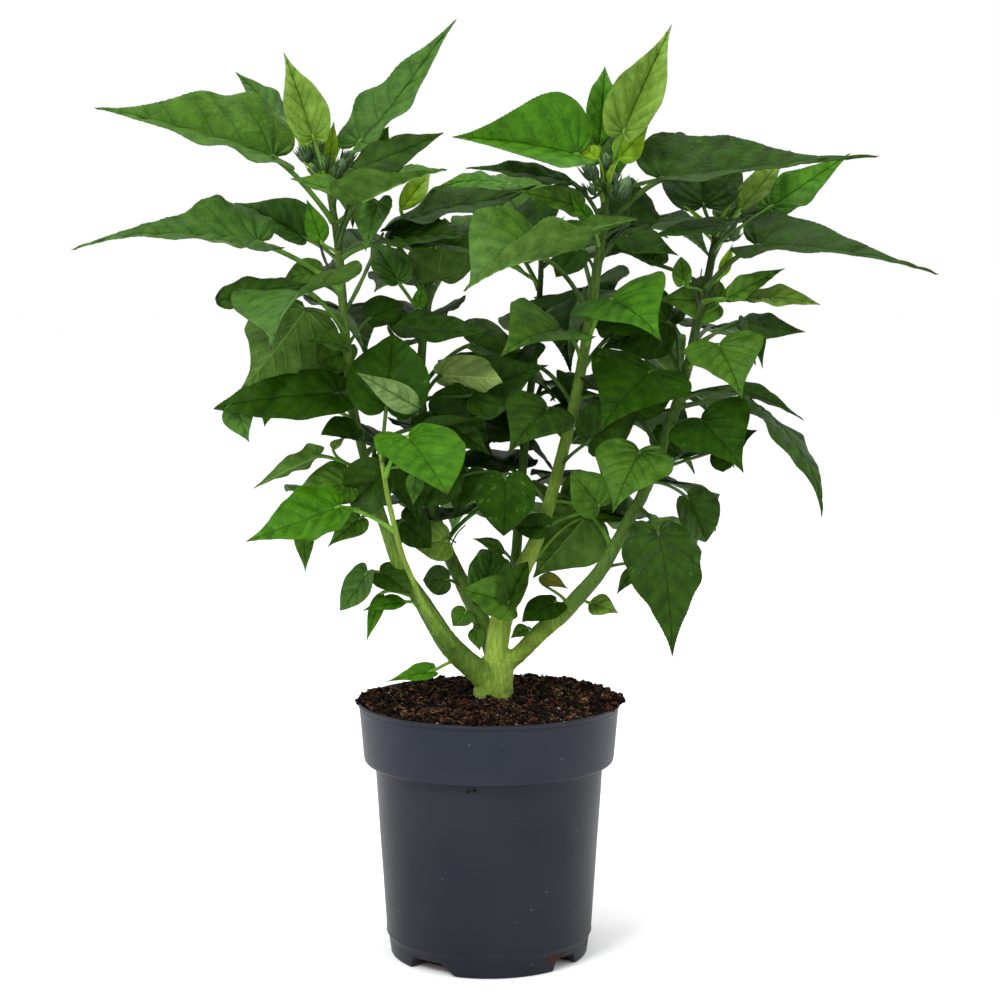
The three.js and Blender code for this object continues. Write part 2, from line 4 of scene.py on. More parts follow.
import bpy
import numpy as np
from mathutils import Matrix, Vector


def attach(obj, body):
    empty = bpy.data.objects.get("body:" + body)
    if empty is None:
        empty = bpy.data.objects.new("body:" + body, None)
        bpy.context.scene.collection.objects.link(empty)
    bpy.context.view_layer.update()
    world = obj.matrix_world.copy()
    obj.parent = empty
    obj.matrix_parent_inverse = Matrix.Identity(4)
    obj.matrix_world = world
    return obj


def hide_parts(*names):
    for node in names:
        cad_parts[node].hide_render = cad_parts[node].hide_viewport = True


# A potted hibiscus shrub. Lengths in the tables are millimetres; meshes are in metres.
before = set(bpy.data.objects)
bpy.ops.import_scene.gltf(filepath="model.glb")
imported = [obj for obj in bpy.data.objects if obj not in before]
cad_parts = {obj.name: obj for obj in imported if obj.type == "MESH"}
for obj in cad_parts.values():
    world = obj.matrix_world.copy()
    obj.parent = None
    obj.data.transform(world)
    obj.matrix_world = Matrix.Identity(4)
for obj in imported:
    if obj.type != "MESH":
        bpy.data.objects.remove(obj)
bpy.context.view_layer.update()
MM = 0.001

# sections of each limb: x, y, z, radius
STEMS = {
  "trunk": [[3.3, 0, 182.0, 15.2], [3.3, 0, 190.1, 14.3], [4.7, 0, 202.6, 13.2], [6.6, 0, 213.6, 12.2]],
  "center": [[5.5, 0, 210.6, 9.2], [5.8, 0, 220.9, 8.4], [7.6, 1, 235.4, 8.3], [10.9, 3, 248.2, 8.0], [16.0, 6, 260.2, 7.4], [22.9, 10, 275.7, 6.7], [31.6, 15, 292.6, 5.8], [37.1, 19, 306.1, 5.2], [43.3, 22, 322.6, 4.8], [48.8, 24, 343.6, 4.5], [61.0, 24, 393.2, 4.2], [71.5, 20, 451.2, 3.9], [78.2, 14, 499.9, 3.5], [82.1, 10, 533.2, 3.1], [83.3, 8, 560.6, 2.5]],
  "left": [[0.0, -2, 197.8, 9.6], [-10.0, -6, 208.1, 8.7], [-20.4, -9, 218.1, 8.3], [-30.0, -14, 229.5, 7.8], [-39.1, -18, 244.6, 7.0], [-47.9, -21, 260.2, 6.0], [-58.0, -24, 276.1, 5.1], [-65.4, -24, 289.7, 4.7], [-70.3, -23, 303.8, 4.3], [-75.2, -22, 318.0, 4.0], [-80.2, -21, 333.5, 3.8], [-85.1, -19, 351.1, 3.5], [-89.4, -17, 367.3, 3.4], [-95.1, -14, 391.9, 3.4], [-98.6, -12, 413.1, 3.4], [-100.4, -9, 437.7, 3.4], [-102.6, -6, 460.3, 3.3], [-104.3, -4, 483.6, 3.2], [-105.8, -2, 502.6, 3.1], [-108.6, 0, 525.9, 2.8], [-111.6, 0, 543.4, 2.5], [-114.0, 0, 558.8, 2.1]],
  "shoot": [[-24.1, -21, 226.7, 2.6], [-30.4, -25, 236.8, 2.6], [-38.5, -27, 247.2, 2.4], [-45.8, -30, 259.1, 2.3], [-53.7, -33, 276.6, 2.2], [-60.5, -37, 294.2, 2.1], [-64.8, -40, 311.5, 2.1], [-69.1, -43, 330.9, 2.0], [-72.3, -47, 350.2, 1.9], [-75.0, -52, 370.1, 1.7]],
  "midleft": [[3.6, 8, 218.0, 7.4], [-6.6, 13, 242.2, 6.6], [-13.9, 17, 255.6, 5.9], [-22.7, 22, 273.3, 5.4], [-32.3, 27, 293.3, 4.9], [-37.5, 30, 308.5, 4.4], [-40.4, 32, 320.8, 4.0], [-45.6, 37, 359.4, 3.7], [-50.0, 42, 406.8, 3.5], [-48.5, 44, 443.4, 3.2], [-43.2, 45, 479.9, 2.8], [-40.2, 44, 512.5, 2.3]],
  "right": [[8.0, 0, 207.7, 7.8], [16.0, -1, 213.8, 6.7], [23.9, -3, 220.7, 6.1], [36.8, -6, 234.7, 6.5], [47.5, -8, 244.1, 6.3], [54.6, -9, 250.5, 6.1], [67.1, -11, 264.9, 5.7], [78.1, -12, 278.0, 5.2], [89.0, -12, 296.0, 4.8], [100.7, -11, 318.2, 4.5], [111.4, -9, 338.1, 4.3], [127.8, -5, 380.7, 4.0], [141.4, 0, 423.2, 3.7], [149.3, 4, 460.1, 3.4], [153.9, 6, 480.0, 3.1], [157.5, 7, 494.2, 3.0], [159.9, 8, 508.4, 2.8], [163.0, 8, 521.1, 2.4]],
  "back": [[15.3, 10, 255.9, 4.6], [19.8, 34, 285.8, 4.0], [22.9, 54, 324.4, 3.7], [27.5, 72, 375.3, 3.3], [33.6, 84, 427.3, 2.9], [38.1, 91, 479.7, 2.4], [39.6, 93, 520.9, 2.1]],
}

# leaves, stem by stem: name, place along the stem, petiole azimuth, elevation
# and length, blade azimuth and elevation, length, width, roll, rise of the two
# halves, bow of the midrib, twist, droop of the tip, outline and tone
LEAVES = {
  "center": [
    ["L43a", 0.2125, -121.8, 20.3, 29.0, 81, 42, 52, 45, 9, 49, 0.04, 3, 0, "hg"],
    ["L43b", 0.2375, -81.7, 12.1, 29.3, -161, 18, 39, 34, -49, 20, 0.05, 0, 0, "hm"],
    ["L43c", 0.2687, -90.8, 5.1, 35.3, 40, 57, 33, 27, 23, 43, 0.12, -8, 0, "hd"],
    ["L37", 0.325, 35.8, 34.8, 76.7, -137, -37, 67, 60, 142, 10, 0.06, 0, 0, "ab"],
    ["L43d", 0.3375, -110.2, 39.5, 37.0, -160, 24, 26, 14, -28, 15, 0.05, 0, 0, "nd"],
    ["X20", 0.5, 23.4, 18.5, 35.1, 46, -8, 104, 69, 18, 23, 0.05, -14, 0.07, "am"],
    ["L36", 0.5312, -81.1, -5.0, 20.9, 155, -5, 27, 21, -63, 25, 0.05, 0, 0, "hk"],
    ["X21", 0.575, 122.7, 23.8, 59.3, 133, 1, 93, 72, 9, 12, 0.06, 0, 0.02, "ad"],
    ["C11", 0.5875, -39.0, 0.4, 44.7, -159, 49, 34, 34, -67, 14, 0.04, 0, 0, "hm"],
    ["X22", 0.6438, 76.3, 26.4, 50.3, 73, -10, 106, 72, 15, 25, 0.03, 8, 0.08, "am"],
    ["C8", 0.6562, -39.2, 37.1, 35.9, -6, 36, 44, 44, 42, 16, 0.04, 0, 0, "hd"],
    ["X23", 0.6813, 45.0, 14.3, 60.8, 49, -23, 108, 82, -18, 22, 0.07, 4, 0.05, "ae"],
    ["C4", 0.7, -117.3, 21.1, 38.5, -142, -39, 47, 58, -15, 15, 0.06, 0, 0.04, "ad"],
    ["X24", 0.7188, 129.0, 29.0, 58.0, 143, -36, 103, 69, -4, 20, 0.06, -8, 0.05, "ae"],
    ["C13", 0.725, 10.2, 3.2, 34.6, 21, 10, 56, 60, 36, 14, 0.05, 0, 0, "am"],
    ["X25", 0.75, 52.8, 27.7, 60.4, 54, -29, 111, 75, -15, 23, 0.03, -7, 0.08, "am"],
    ["C1", 0.7562, -108.5, 24.0, 59.9, -133, -13, 63, 74, -12, 20, 0.07, 0, 0.05, "am"],
    ["C2", 0.7688, -67.7, 38.3, 57.3, -58, -23, 64, 78, 16, 18, 0.06, 0, 0.06, "ab"],
    ["X26", 0.7875, 91.1, 27.7, 59.9, 96, -32, 115, 89, -21, 10, 0.08, 13, 0.07, "ad"],
    ["L72", 0.7937, -116.3, 29.9, 89.9, -121, -12, 107, 99, -9, 41, 0.05, 57, 0, "au"],
    ["L72b", 0.7937, -118.3, 33.0, 90.9, 15, 18, 74, 34, -50, 12, 0.05, 0, 0, "hu"],
    ["X27", 0.8187, 96.0, 29.3, 59.1, 88, 0, 109, 85, 5, 21, 0.06, 4, 0.01, "am"],
    ["L75", 0.8438, -145.2, 43.5, 23.8, -162, -50, 25, 28, -32, 15, 0.05, 0, 0, "hk"],
    ["X28", 0.8562, 57.1, 29.5, 52.8, 51, -7, 111, 80, -9, 21, 0.05, 0, 0.08, "ae"],
    ["L74", 0.8562, -45.0, 34.3, 32.6, -25, -19, 42, 34, 14, 6, 0.02, 20, 0, "ad"],
    ["L76", 0.875, -106.9, 34.3, 29.1, -177, 55, 28, 12, -57, 19, 0.03, 10, 0, "nb"],
    ["L73", 0.8875, 31.0, 29.0, 29.0, 83, 48, 43, 44, 21, 16, 0.01, 28, 0, "hd"],
    ["X29", 0.8875, 150.0, 11.0, 50.0, 141, -18, 93, 69, -16, 22, 0.05, -2, 0.07, "ae"],
    ["L71", 0.8938, -132.7, 37.1, 33.5, -165, 12, 50, 26, -44, 26, 0.05, 5, 0, "am"],
    ["L57", 0.9, -33.0, 36.9, 60.9, -11, 6, 150, 92, 12, 24, 0.0, -6, 0.01, "cd"],
    ["L70", 0.9125, -145.1, 46.6, 39.7, -166, 7, 78, 21, -24, 20, 0.03, -2, 0, "nd"],
    ["X30", 0.925, 90.1, 46.6, 58.6, 108, 22, 104, 75, -2, 22, 0.06, -3, 0.06, "ad"],
    ["L66", 0.95, -137.2, 49.3, 43.3, -168, 7, 90, 86, -32, 40, 0.04, -23, 0, "ab"],
    ["X31", 0.9563, 64.0, 33.9, 56.9, 59, 0, 97, 73, -11, 22, 0.05, -6, 0.03, "ad"],
    ["L67", 0.9625, 103.0, 65.4, 39.4, 80, 63, 67, 29, 6, 41, 0.13, -11, 0, "nb"],
    ["L69", 0.975, -48.9, 59.8, 23.0, 10, 47, 33, 22, 54, 15, 0.05, 0, 0, "ny"],
    ["L69b", 0.975, -115.3, 56.7, 25.0, 171, 36, 16, 14, -59, 15, 0.05, 0, 0, "ny"],
    ["L68", 0.9812, -54.0, 61.6, 42.9, 40, 59, 90, 55, 23, 49, 0.04, 26, 0, "al"],
  ],
  "left": [
    ["L6y", 1.0, 17.9, 29.0, 37.2, 0.0, 57.3, 22.5, 19, 57, 14, 0.03, 0, 0, "nb"],
    ["L2y", 1.0, 87.0, 50.8, 14.2, 0.0, 82.7, 29.7, 12, 21, 20, 0.03, 0, 0, "ny"],
    ["L3y", 1.0, 143.6, 33.3, 16.1, 180.0, 64.3, 25.7, 11, -52, 20, 0.03, 0, 0, "ny"],
    ["L42", 0.0875, -156.4, -17.4, 25.2, -167, -11, 34, 17, -25, 21, 0.02, -1, 0, "ab"],
    ["L40", 0.2313, -157.4, 8.3, 13.9, -169, -10, 31, 16, -18, 15, 0.05, 0, 0, "nb"],
    ["L41", 0.2437, 177.1, 7.2, 27.3, -146, -69, 36, 11, -26, 15, 0.07, -1, 0, "nb"],
    ["L39", 0.2562, -166.6, 30.1, 29.6, -26, -29, 28, 28, 19, 18, 0.05, -2, 0, "hd"],
    ["L38", 0.2687, -167.6, 19.0, 34.0, -169, -54, 33, 25, -13, 15, -0.06, -25, 0, "hg"],
    ["L45b", 0.325, 82.7, 61.0, 33.6, 16, -44, 30, 30, 45, 15, 0.05, 0, 0, "hk"],
    ["X0", 0.3563, 60.9, 15.9, 54.5, 52, -3, 90, 67, -14, 17, 0.06, -13, 0.07, "ad"],
    ["X1", 0.425, 127.8, 17.3, 55.5, 108, -9, 109, 75, 2, 14, 0.04, -4, 0.05, "am"],
    ["L30b", 0.4437, 156.0, -14.5, 17.1, -162, -40, 31, 24, -41, 20, 0.05, 0, 0, "am"],
    ["L30", 0.4562, -173.4, -12.7, 54.9, -75, -68, 33, 15, -7, 20, 0.05, 25, 0.12, "nm"],
    ["L29b", 0.4813, 177.9, 23.3, 20.7, -170, -15, 47, 40, -31, 15, 0.05, 0, 0, "am"],
    ["X2", 0.4938, 88.9, 50.9, 37.5, 86, -3, 96, 67, 18, 10, 0.06, -2, 0.04, "ad"],
    ["L28b", 0.5125, 177.1, 38.5, 33.4, 26, 42, 12, 14, -7, 15, 0.05, 0, 0, "nl"],
    ["L31", 0.5125, -49.5, 20.2, 19.9, 140, -38, 44, 46, -84, 34, 0.03, 0, 0, "hd"],
    ["L28", 0.5188, -170.9, 21.6, 39.3, -156, -24, 52, 26, 57, 21, 0.02, 28, 0, "am"],
    ["L27", 0.5625, -105.3, 58.8, 13.4, -136, 9, 36, 38, -20, 23, 0.01, 8, 0, "he"],
    ["X3", 0.5625, 38.3, 19.9, 53.0, 57, -17, 108, 72, -16, 16, 0.04, -7, 0.04, "ae"],
    ["X4", 0.6125, 137.8, 40.8, 43.7, 118, 1, 112, 77, -12, 19, 0.04, 0, 0.01, "am"],
    ["L24b", 0.6125, -174.9, 14.7, 61.8, -135, -74, 21, 12, -27, 10, 0.05, 0, 0, "nb"],
    ["L24", 0.65, -113.5, 8.2, 20.9, -173.4, -7, 86.7, 42, -36, 8, 0.05, 0, 0, "he"],
    ["X5", 0.6625, 80.9, 18.1, 53.0, 90, -14, 115, 87, -13, 14, 0.08, -12, 0.1, "ae"],
    ["L23", 0.7125, -95.2, 17.5, 13.8, -164, 6, 30, 24, -22, 25, 0.05, 0, 0, "am"],
    ["L18", 0.7188, 34.0, 46.1, 27.8, 23, 21, 28, 26, 40, 20, 0.05, 0, 0, "hk"],
    ["L23b", 0.7188, 102.8, -44.4, 5.3, -160, -18, 22, 30, -36, 15, 0.05, 0, 0, "hm"],
    ["L20b", 0.7875, -151.7, -0.3, 95.1, 13.9, 9.9, 67.7, 27, 32, 10, 0.03, 0, 0, "nd"],
    ["X6", 0.7312, 98.3, 19.4, 60.5, 82, -20, 104, 69, -1, 22, 0.08, 3, 0.06, "ae"],
    ["L20", 0.7375, -125.7, 36.8, 50.5, -100, -19, 102, 97, 11, 16, 0.07, 40, 0.04, "ag"],
    ["L22", 0.7562, -176.7, 17.4, 28.6, -119, -34, 97, 92, 155, 38, 0.05, 0, 0, "cu"],
    ["X7", 0.7937, 142.5, 17.3, 29.7, 124, -30, 105, 78, -4, 23, 0.09, -13, 0.05, "ad"],
    ["L21", 0.8, -177.4, 40.7, 20.8, -173, -11, 25, 24, -42, 15, 0.05, 0, 0, "hm"],
    ["L8", 0.8, -165.3, 29.4, 69.3, -161, 0, 128, 73, -13, 25, 0.05, 0, 0.05, "cg"],
    ["L9", 0.85, 135.9, 25.1, 43.1, 156, 24, 63, 47, -32, 43, 0.05, 2, 0, "ag"],
    ["X8", 0.8562, -3.4, 16.7, 46.1, 363, -14, 104, 69, 1, 22, 0.04, 11, 0.08, "am"],
    ["L10", 0.8625, -137.2, 28.0, 17.4, -169, 71, 32, 17, -47, 15, 0.05, 0, 0, "nb"],
    ["L7", 0.8688, -67.7, 33.5, 56.6, -36, 16, 79, 70, -12, 30, 0.03, 10, 0.01, "au"],
    ["L7b", 0.8812, -77.8, 39.1, 49.4, -170, 16, 39, 24, -17, 21, 0.01, -8, 0, "nu"],
    ["L11", 0.9062, -38.0, 19.2, 43.0, -120, -64, 38, 36, 24, 15, 0.02, -15, 0, "ag"],
    ["L1", 0.9062, -168.9, 46.8, 63.9, -165, 14, 127, 89, -21, 29, 0.03, -1, -0.01, "am"],
    ["X9", 0.9125, 94.9, 50.1, 39.8, 82, -20, 80, 58, 12, 18, 0.03, -4, 0.09, "am"],
    ["L6", 0.9375, -57.2, 43.3, 35.8, -16, 20, 73, 35, 25, 14, -0.02, 27, 0, "nd"],
    ["L5", 0.9563, 13.1, 61.6, 45.5, 4, 54, 110, 51, 5, 21, -0.04, 31, 0.05, "ag"],
    ["L2", 0.975, 132.5, 43.8, 75.3, 176, 45, 48, 44, 17, 8, 0.01, -51, 0, "ag"],
    ["L3", 0.975, -129.6, 66.2, 39.2, 130, 60, 71, 42, -18, 44, 0.05, 1, 0, "al"],
    ["L24t", 0.6687, -160.2, -7.6, 83.3, -22.1, -69.4, 30.2, 25, 18, 22, -0.05, 60, 0, "ng"],
  ],
  "shoot": [
    ["L29", 0.6687, -155.0, 24.1, 47.0, -166, -19, 68, 62, -4, 10, 0, -30, 0, "ab"],
    ["L26", 0.8875, -58.4, 43.1, 44.9, -59, -32, 65, 63, 0, 15, 0.04, -3, 0, "hb"],
    ["L33", 0.925, -26.0, -2.8, 25.8, -112, -79, 23, 13, -11, 15, 0.05, 0, 0, "ng"],
    ["L25", 0.95, -66.5, 77.2, 39.3, 82, 62, 57, 60, 11, 17, 0.04, -21, 0, "he"],
    ["L25b", 1.0, -23.6, 44.1, 41.8, -174.6, 30.7, 49.9, 21, -67, 26, 0.05, 0, 0, "np"],
  ],
  "midleft": [
    ["L48b", 0.0688, -111.9, 1.5, 17.0, -43, -70, 17, 13, 8, 15, 0.05, 0, 0, "nm"],
    ["L48", 0.0875, -118.3, 20.9, 22.8, -157, -43, 14, 18, -33, 12, 0.05, 0, 0, "hm"],
    ["L44", 0.2188, -144.5, 29.0, 17.6, 148, -5, 22, 23, -74, 14, 0.03, 6, 0, "hd"],
    ["L45", 0.3187, -101.8, 49.5, 19.9, -166, -7, 25, 34, -44, 15, 0.05, 0, 0, "hl"],
    ["X10", 0.375, 31.2, 32.4, 50.7, 53, -26, 90, 65, -7, 19, 0.05, 0, 0.03, "am"],
    ["X11", 0.4562, 111.3, 20.0, 47.6, 94, -13, 99, 67, -18, 11, 0.08, -2, 0.09, "ad"],
    ["X12", 0.5625, 91.5, 42.8, 58.0, 72, -4, 110, 84, 10, 20, 0.04, 2, 0.04, "am"],
    ["L35", 0.5813, -35.5, 10.7, 68.1, -98, -75, 42, 44, -4, 4, 0.04, -1, 0, "he"],
    ["L34", 0.5938, -27.6, 18.9, 33.2, -139, -71, 38, 36, -11, 15, 0.05, 0, 0, "ad"],
    ["X13", 0.6188, 49.7, 39.2, 57.2, 39, -27, 106, 72, 22, 17, 0.04, -10, 0.07, "ad"],
    ["L32", 0.6438, -110.9, 3.0, 45.0, -21, -76, 55, 52, 12, 18, 0.05, 0, 0, "ak"],
    ["L32b", 0.6562, -62.0, -30.2, 36.5, -161, -39, 39, 50, -35, 15, 0.05, 0, 0, "hd"],
    ["L34c", 0.675, -57.5, 54.1, 14.1, -15, -33, 56, 56, 39, 15, 0.05, 0, 0, "ad"],
    ["X14", 0.675, 145.0, 34.0, 49.2, 152, -9, 114, 79, 3, 14, 0.03, 4, 0.01, "ae"],
    ["L34b", 0.7125, -20.8, 50.1, 23.4, -52, -2, 75, 41, -93, 47, 0.12, -23, 0, "ap"],
    ["C10", 0.7125, -17.9, 5.9, 38.0, 14, 20, 63, 60, 30, 14, 0.05, 0, 0, "ad"],
    ["X15", 0.7312, 37.9, 32.2, 57.4, 35, -29, 90, 66, 21, 17, 0.07, 8, 0.03, "am"],
    ["L19", 0.7625, -115.0, 36.1, 58.4, -14, -3, 73, 38, 11, 14, -0.05, 13, 0, "nd"],
    ["X16", 0.7875, 97.1, 36.0, 37.5, 80, -1, 99, 73, -4, 26, 0.08, -3, 0.06, "ad"],
    ["X17", 0.8375, 100.1, 41.6, 48.7, 115, -3, 88, 65, 6, 19, 0.05, -1, 0.01, "ad"],
    ["L16", 0.8438, -118.8, 41.1, 49.7, 128, 39, 48, 34, -16, 34, 0.07, -7, 0, "ag"],
    ["L15", 0.85, -57.7, 60.5, 38.6, 79, 62, 48, 49, 176, 0, 0.02, 5, 0, "hu"],
    ["L17", 0.85, -107.6, 34.9, 18.3, -46, 74, 20, 11, 64, 15, 0.05, 0, 0, "nb"],
    ["L14", 0.8938, -113.1, 32.7, 77.8, -23, 0, 67, 50, 5, 16, 0.04, 24, 0, "ad"],
    ["X18", 0.8938, 37.1, 47.7, 56.6, 54, -2, 93, 61, 19, 22, 0.03, -4, 0.07, "am"],
    ["L13", 0.9062, -115.9, 42.4, 67.4, 5, 10, 104, 64, -15, 14, 0.07, 51, -0.12, "ad"],
    ["X19", 0.95, 121.0, 21.5, 48.9, 128, -4, 101, 67, 16, 11, 0.08, 5, 0.1, "ad"],
    ["L66b", 0.9625, -3.0, 45.3, 80.5, -161, -6, 62, 31, 2, 3, 0.08, -46, 0, "ab"],
    ["L12", 0.9875, -132.9, 41.8, 44.5, 54, 37, 43, 18, 40, 27, 0.13, 0, 0, "ny"],
  ],
  "right": [
    ["L47", 0.1562, -115.7, 43.1, 14.0, -163, -28, 15, 12, -25, 15, 0.05, 0, 0, "nm"],
    ["L46", 0.1938, -51.1, 59.8, 23.9, -139, -19, 34, 25, -15, 4, 0.04, -2, 0, "hk"],
    ["L49", 0.3125, 144.9, 36.6, 31.9, -14, -21, 22, 14, 20, 15, 0.05, 0, 0, "no"],
    ["L50", 0.3312, 54.9, -14.6, 19.2, -24, -15, 23, 20, 29, 15, 0.05, 0, 0, "nl"],
    ["X32", 0.4188, 46.5, 31.0, 55.7, 65, -37, 99, 74, -13, 20, 0.05, 9, 0.04, "am"],
    ["L51", 0.4313, 5.6, -3.7, 24.2, -158, -49, 24, 12, -24, 20, 0.05, 0, 0, "nd"],
    ["X33", 0.4688, 115.7, 28.0, 57.0, 97, -20, 110, 78, 10, 25, 0.05, -4, 0.07, "am"],
    ["X34", 0.525, 61.8, 31.3, 48.9, 56, -21, 111, 78, -2, 11, 0.07, 11, 0.08, "ad"],
    ["L52", 0.5563, -64.1, -27.5, 34.8, -64, -76, 87, 65, -26, 4, 0.04, 33, 0, "ad"],
    ["X35", 0.5938, 58.3, 18.0, 54.3, 59, -6, 98, 68, -2, 23, 0.09, 10, 0.05, "am"],
    ["L53", 0.6, 16.8, -24.8, 32.1, 33, -62, 38, 40, 56, 30, 0.08, 0, 0, "hd"],
    ["C12", 0.6062, 16.8, 18.0, 48.6, -9, 26, 36, 46, 38, 14, 0.05, 0, 0, "ad"],
    ["X36", 0.625, 126.0, 39.8, 59.7, 115, -3, 113, 79, 21, 13, 0.07, -13, 0.02, "ad"],
    ["C7", 0.6312, -127.9, -3.7, 27.7, -133, -53, 50, 60, -8, 14, 0.05, 0, 0.04, "am"],
    ["C6", 0.65, -45.0, 12.1, 29.4, -39, -42, 50, 70, 18, 16, 0.06, 0, 0.06, "ae"],
    ["X37", 0.6625, 56.0, 28.2, 28.5, 73, -15, 91, 70, -3, 15, 0.05, 0, 0.03, "ad"],
    ["L54", 0.6687, 3.0, -1.7, 62.8, -54, -43, 96, 52, -35, 0, 0.05, 23, 0.09, "ad"],
    ["L55", 0.675, 16.1, 7.6, 47.3, -15, -23, 51, 24, 10, 22, 0.05, -6, 0, "ad"],
    ["C9", 0.675, 99.6, 61.2, 63.5, 157, -22, 56, 70, -38, 14, 0.06, 0, 0, "ad"],
    ["C3", 0.6937, -137.3, 12.8, 36.1, -135, -36, 65, 80, -12, 16, 0.05, 0, 0.05, "ae"],
    ["X38", 0.6937, 116.6, 40.9, 56.2, 121, 1, 101, 76, -6, 14, 0.07, 13, 0.04, "ae"],
    ["C5", 0.7063, -57.6, 27.4, 40.3, -65, -47, 48, 60, 10, 18, 0.05, 0, 0.05, "am"],
    ["L56b", 0.725, -20.0, 28.5, 45.5, -60, -59, 38, 23, -21, 17, 0.06, 20, 0, "ad"],
    ["X39", 0.7312, 70.9, 11.4, 57.7, 64, -12, 106, 70, -6, 12, 0.06, -2, 0.09, "ae"],
    ["L56", 0.7312, -11.4, 24.0, 38.8, -12, -7, 45, 39, -3, 5, -0.01, 46, 0, "ad"],
    ["L65", 0.7625, 28.0, 34.6, 20.5, 170, 3, 45, 40, -42, 15, 0.05, 0, 0, "am"],
    ["L64", 0.7937, -60.5, 3.8, 28.7, -12, 28, 47, 20, 39, 22, 0.03, -5, 0, "nm"],
    ["L64b", 0.7937, -35.1, 3.6, 35.7, -17, -4, 53, 25, 5, 16, 0.06, 36, 0, "nl"],
    ["L63", 0.8187, -145.3, 17.6, 19.9, 98, 65, 21, 16, -21, 28, 0.02, 9, 0, "hm"],
    ["L61", 0.825, -40.1, 33.8, 54.6, -18, -8, 126, 80, 7, 18, 0.03, -11, 0.02, "cd"],
    ["L63b", 0.825, -35.4, 34.4, 16.6, 0, 71, 24, 9, 40, 12, 0.05, 0, 0, "ny"],
    ["X40", 0.8313, 138.9, 19.7, 54.7, 152, 14, 87, 61, 4, 18, 0.09, -9, 0.01, "ad"],
    ["X41", 0.9062, 58.6, 35.3, 58.2, 49, 20, 80, 56, -8, 11, 0.08, -13, 0.06, "ad"],
    ["L62", 0.9375, -66.2, 33.3, 36.5, -171, -7, 62, 47, 14, 12, -0.03, -36, 0.05, "ad"],
    ["L60", 0.9437, 13.3, 34.8, 52.6, 2, 34, 69, 38, 12, 8, 0, 46, 0, "ab"],
    ["L58", 0.9688, 121.8, 61.7, 29.6, 90, 50, 59, 62, -4, 20, 0.01, 1, 0, "hd"],
    ["L59", 0.975, 7.0, 49.4, 26.5, 8, 50, 57, 25, 15, 21, 0, 4, 0, "nl"],
  ],
  "back": [
    ["X42", 0.2125, 93.0, 25.0, 54.0, 87, -22, 94, 69, -22, 21, 0.05, -9, 0.01, "ad"],
    ["X43", 0.2812, 122.0, 20.0, 48.0, 112, -26, 89, 63, -12, 19, 0.03, 2, 0.04, "am"],
    ["X44", 0.35, 53.0, 11.0, 51.0, 53, -26, 92, 65, -17, 13, 0.04, 4, 0.02, "ad"],
    ["X45", 0.4188, 83.0, 32.0, 54.0, 87, -5, 105, 71, 9, 23, 0.09, -10, 0.09, "ad"],
    ["X46", 0.4875, 71.0, 41.0, 57.0, 77, -12, 113, 83, 5, 18, 0.04, 0, 0.08, "ad"],
    ["X47", 0.5563, 66.0, 12.0, 43.0, 59, -36, 115, 88, 1, 20, 0.06, 5, 0.07, "ad"],
    ["X48", 0.625, 136.0, 29.0, 40.0, 116, -21, 112, 74, -10, 18, 0.04, 8, 0.01, "ad"],
    ["X49", 0.6937, 82.0, 28.0, 55.0, 97, -21, 90, 66, -15, 22, 0.03, -10, 0.06, "am"],
    ["X50", 0.7625, 47.0, 21.0, 45.0, 66, -21, 98, 77, -16, 10, 0.05, 1, 0.05, "ad"],
    ["X51", 0.8313, 126.0, 44.0, 59.0, 110, -2, 101, 79, -9, 20, 0.08, -7, 0.03, "am"],
    ["X52", 0.9, 38.0, 14.0, 58.0, 42, 8, 80, 62, -6, 23, 0.07, 13, 0.02, "ad"],
    ["X53", 0.9688, 120.0, 35.0, 37.0, 107, 25, 98, 68, -21, 20, 0.04, 6, 0.08, "am"],
  ],
}

# ---------------------------------------------------------------- tools
def seed_of(*words):
    return zlib.crc32("/".join(str(w) for w in words).encode())


def rng_of(*words):
    return np.random.default_rng(seed_of(*words))


def unit(v):
    v = np.asarray(v, float)
    return v / (np.linalg.norm(v, axis=-1, keepdims=True) + 1e-12)


def waves(P, length, seed, n=7):
    """smooth noise of about -1 to 1, in bumps about `length` across"""
    r = np.random.default_rng(seed)
    out = np.zeros(P.shape[:-1])
    for _ in range(n):
        d = unit(r.normal(size=3))
        f = 2 * math.pi / (length * r.uniform(0.7, 1.5))
        out = out + np.sin((P @ d) * f + r.uniform(0, 6.283))
    return out / (0.8 * n ** 0.5 * 1.4)


def catmull(pts, n):
    pts = np.asarray(pts, float)
    P = np.vstack([2 * pts[0] - pts[1], pts, 2 * pts[-1] - pts[-2]])
    m = len(pts) - 1
    t = np.linspace(0, m, n + 1)
    i = np.minimum(t.astype(int), m - 1)
    f = (t - i)[:, None]
    a, b, c, d = P[i], P[i + 1], P[i + 2], P[i + 3]
    return 0.5 * (2 * b + (c - a) * f + (2 * a - 5 * b + 4 * c - d) * f**2 + (3 * b - a - 3 * c + d) * f**3)


def direction(az, el):
    a, e = math.radians(az), math.radians(el)
    return np.array([math.cos(e) * math.cos(a), math.cos(e) * math.sin(a), math.sin(e)])


REF = np.array([0, -0.3, 0.954])


def face_up(c, roll):
    R = unit(REF - (REF @ c) * c)
    r = math.radians(roll)
    return math.cos(r) * R + math.sin(r) * np.cross(c, R)


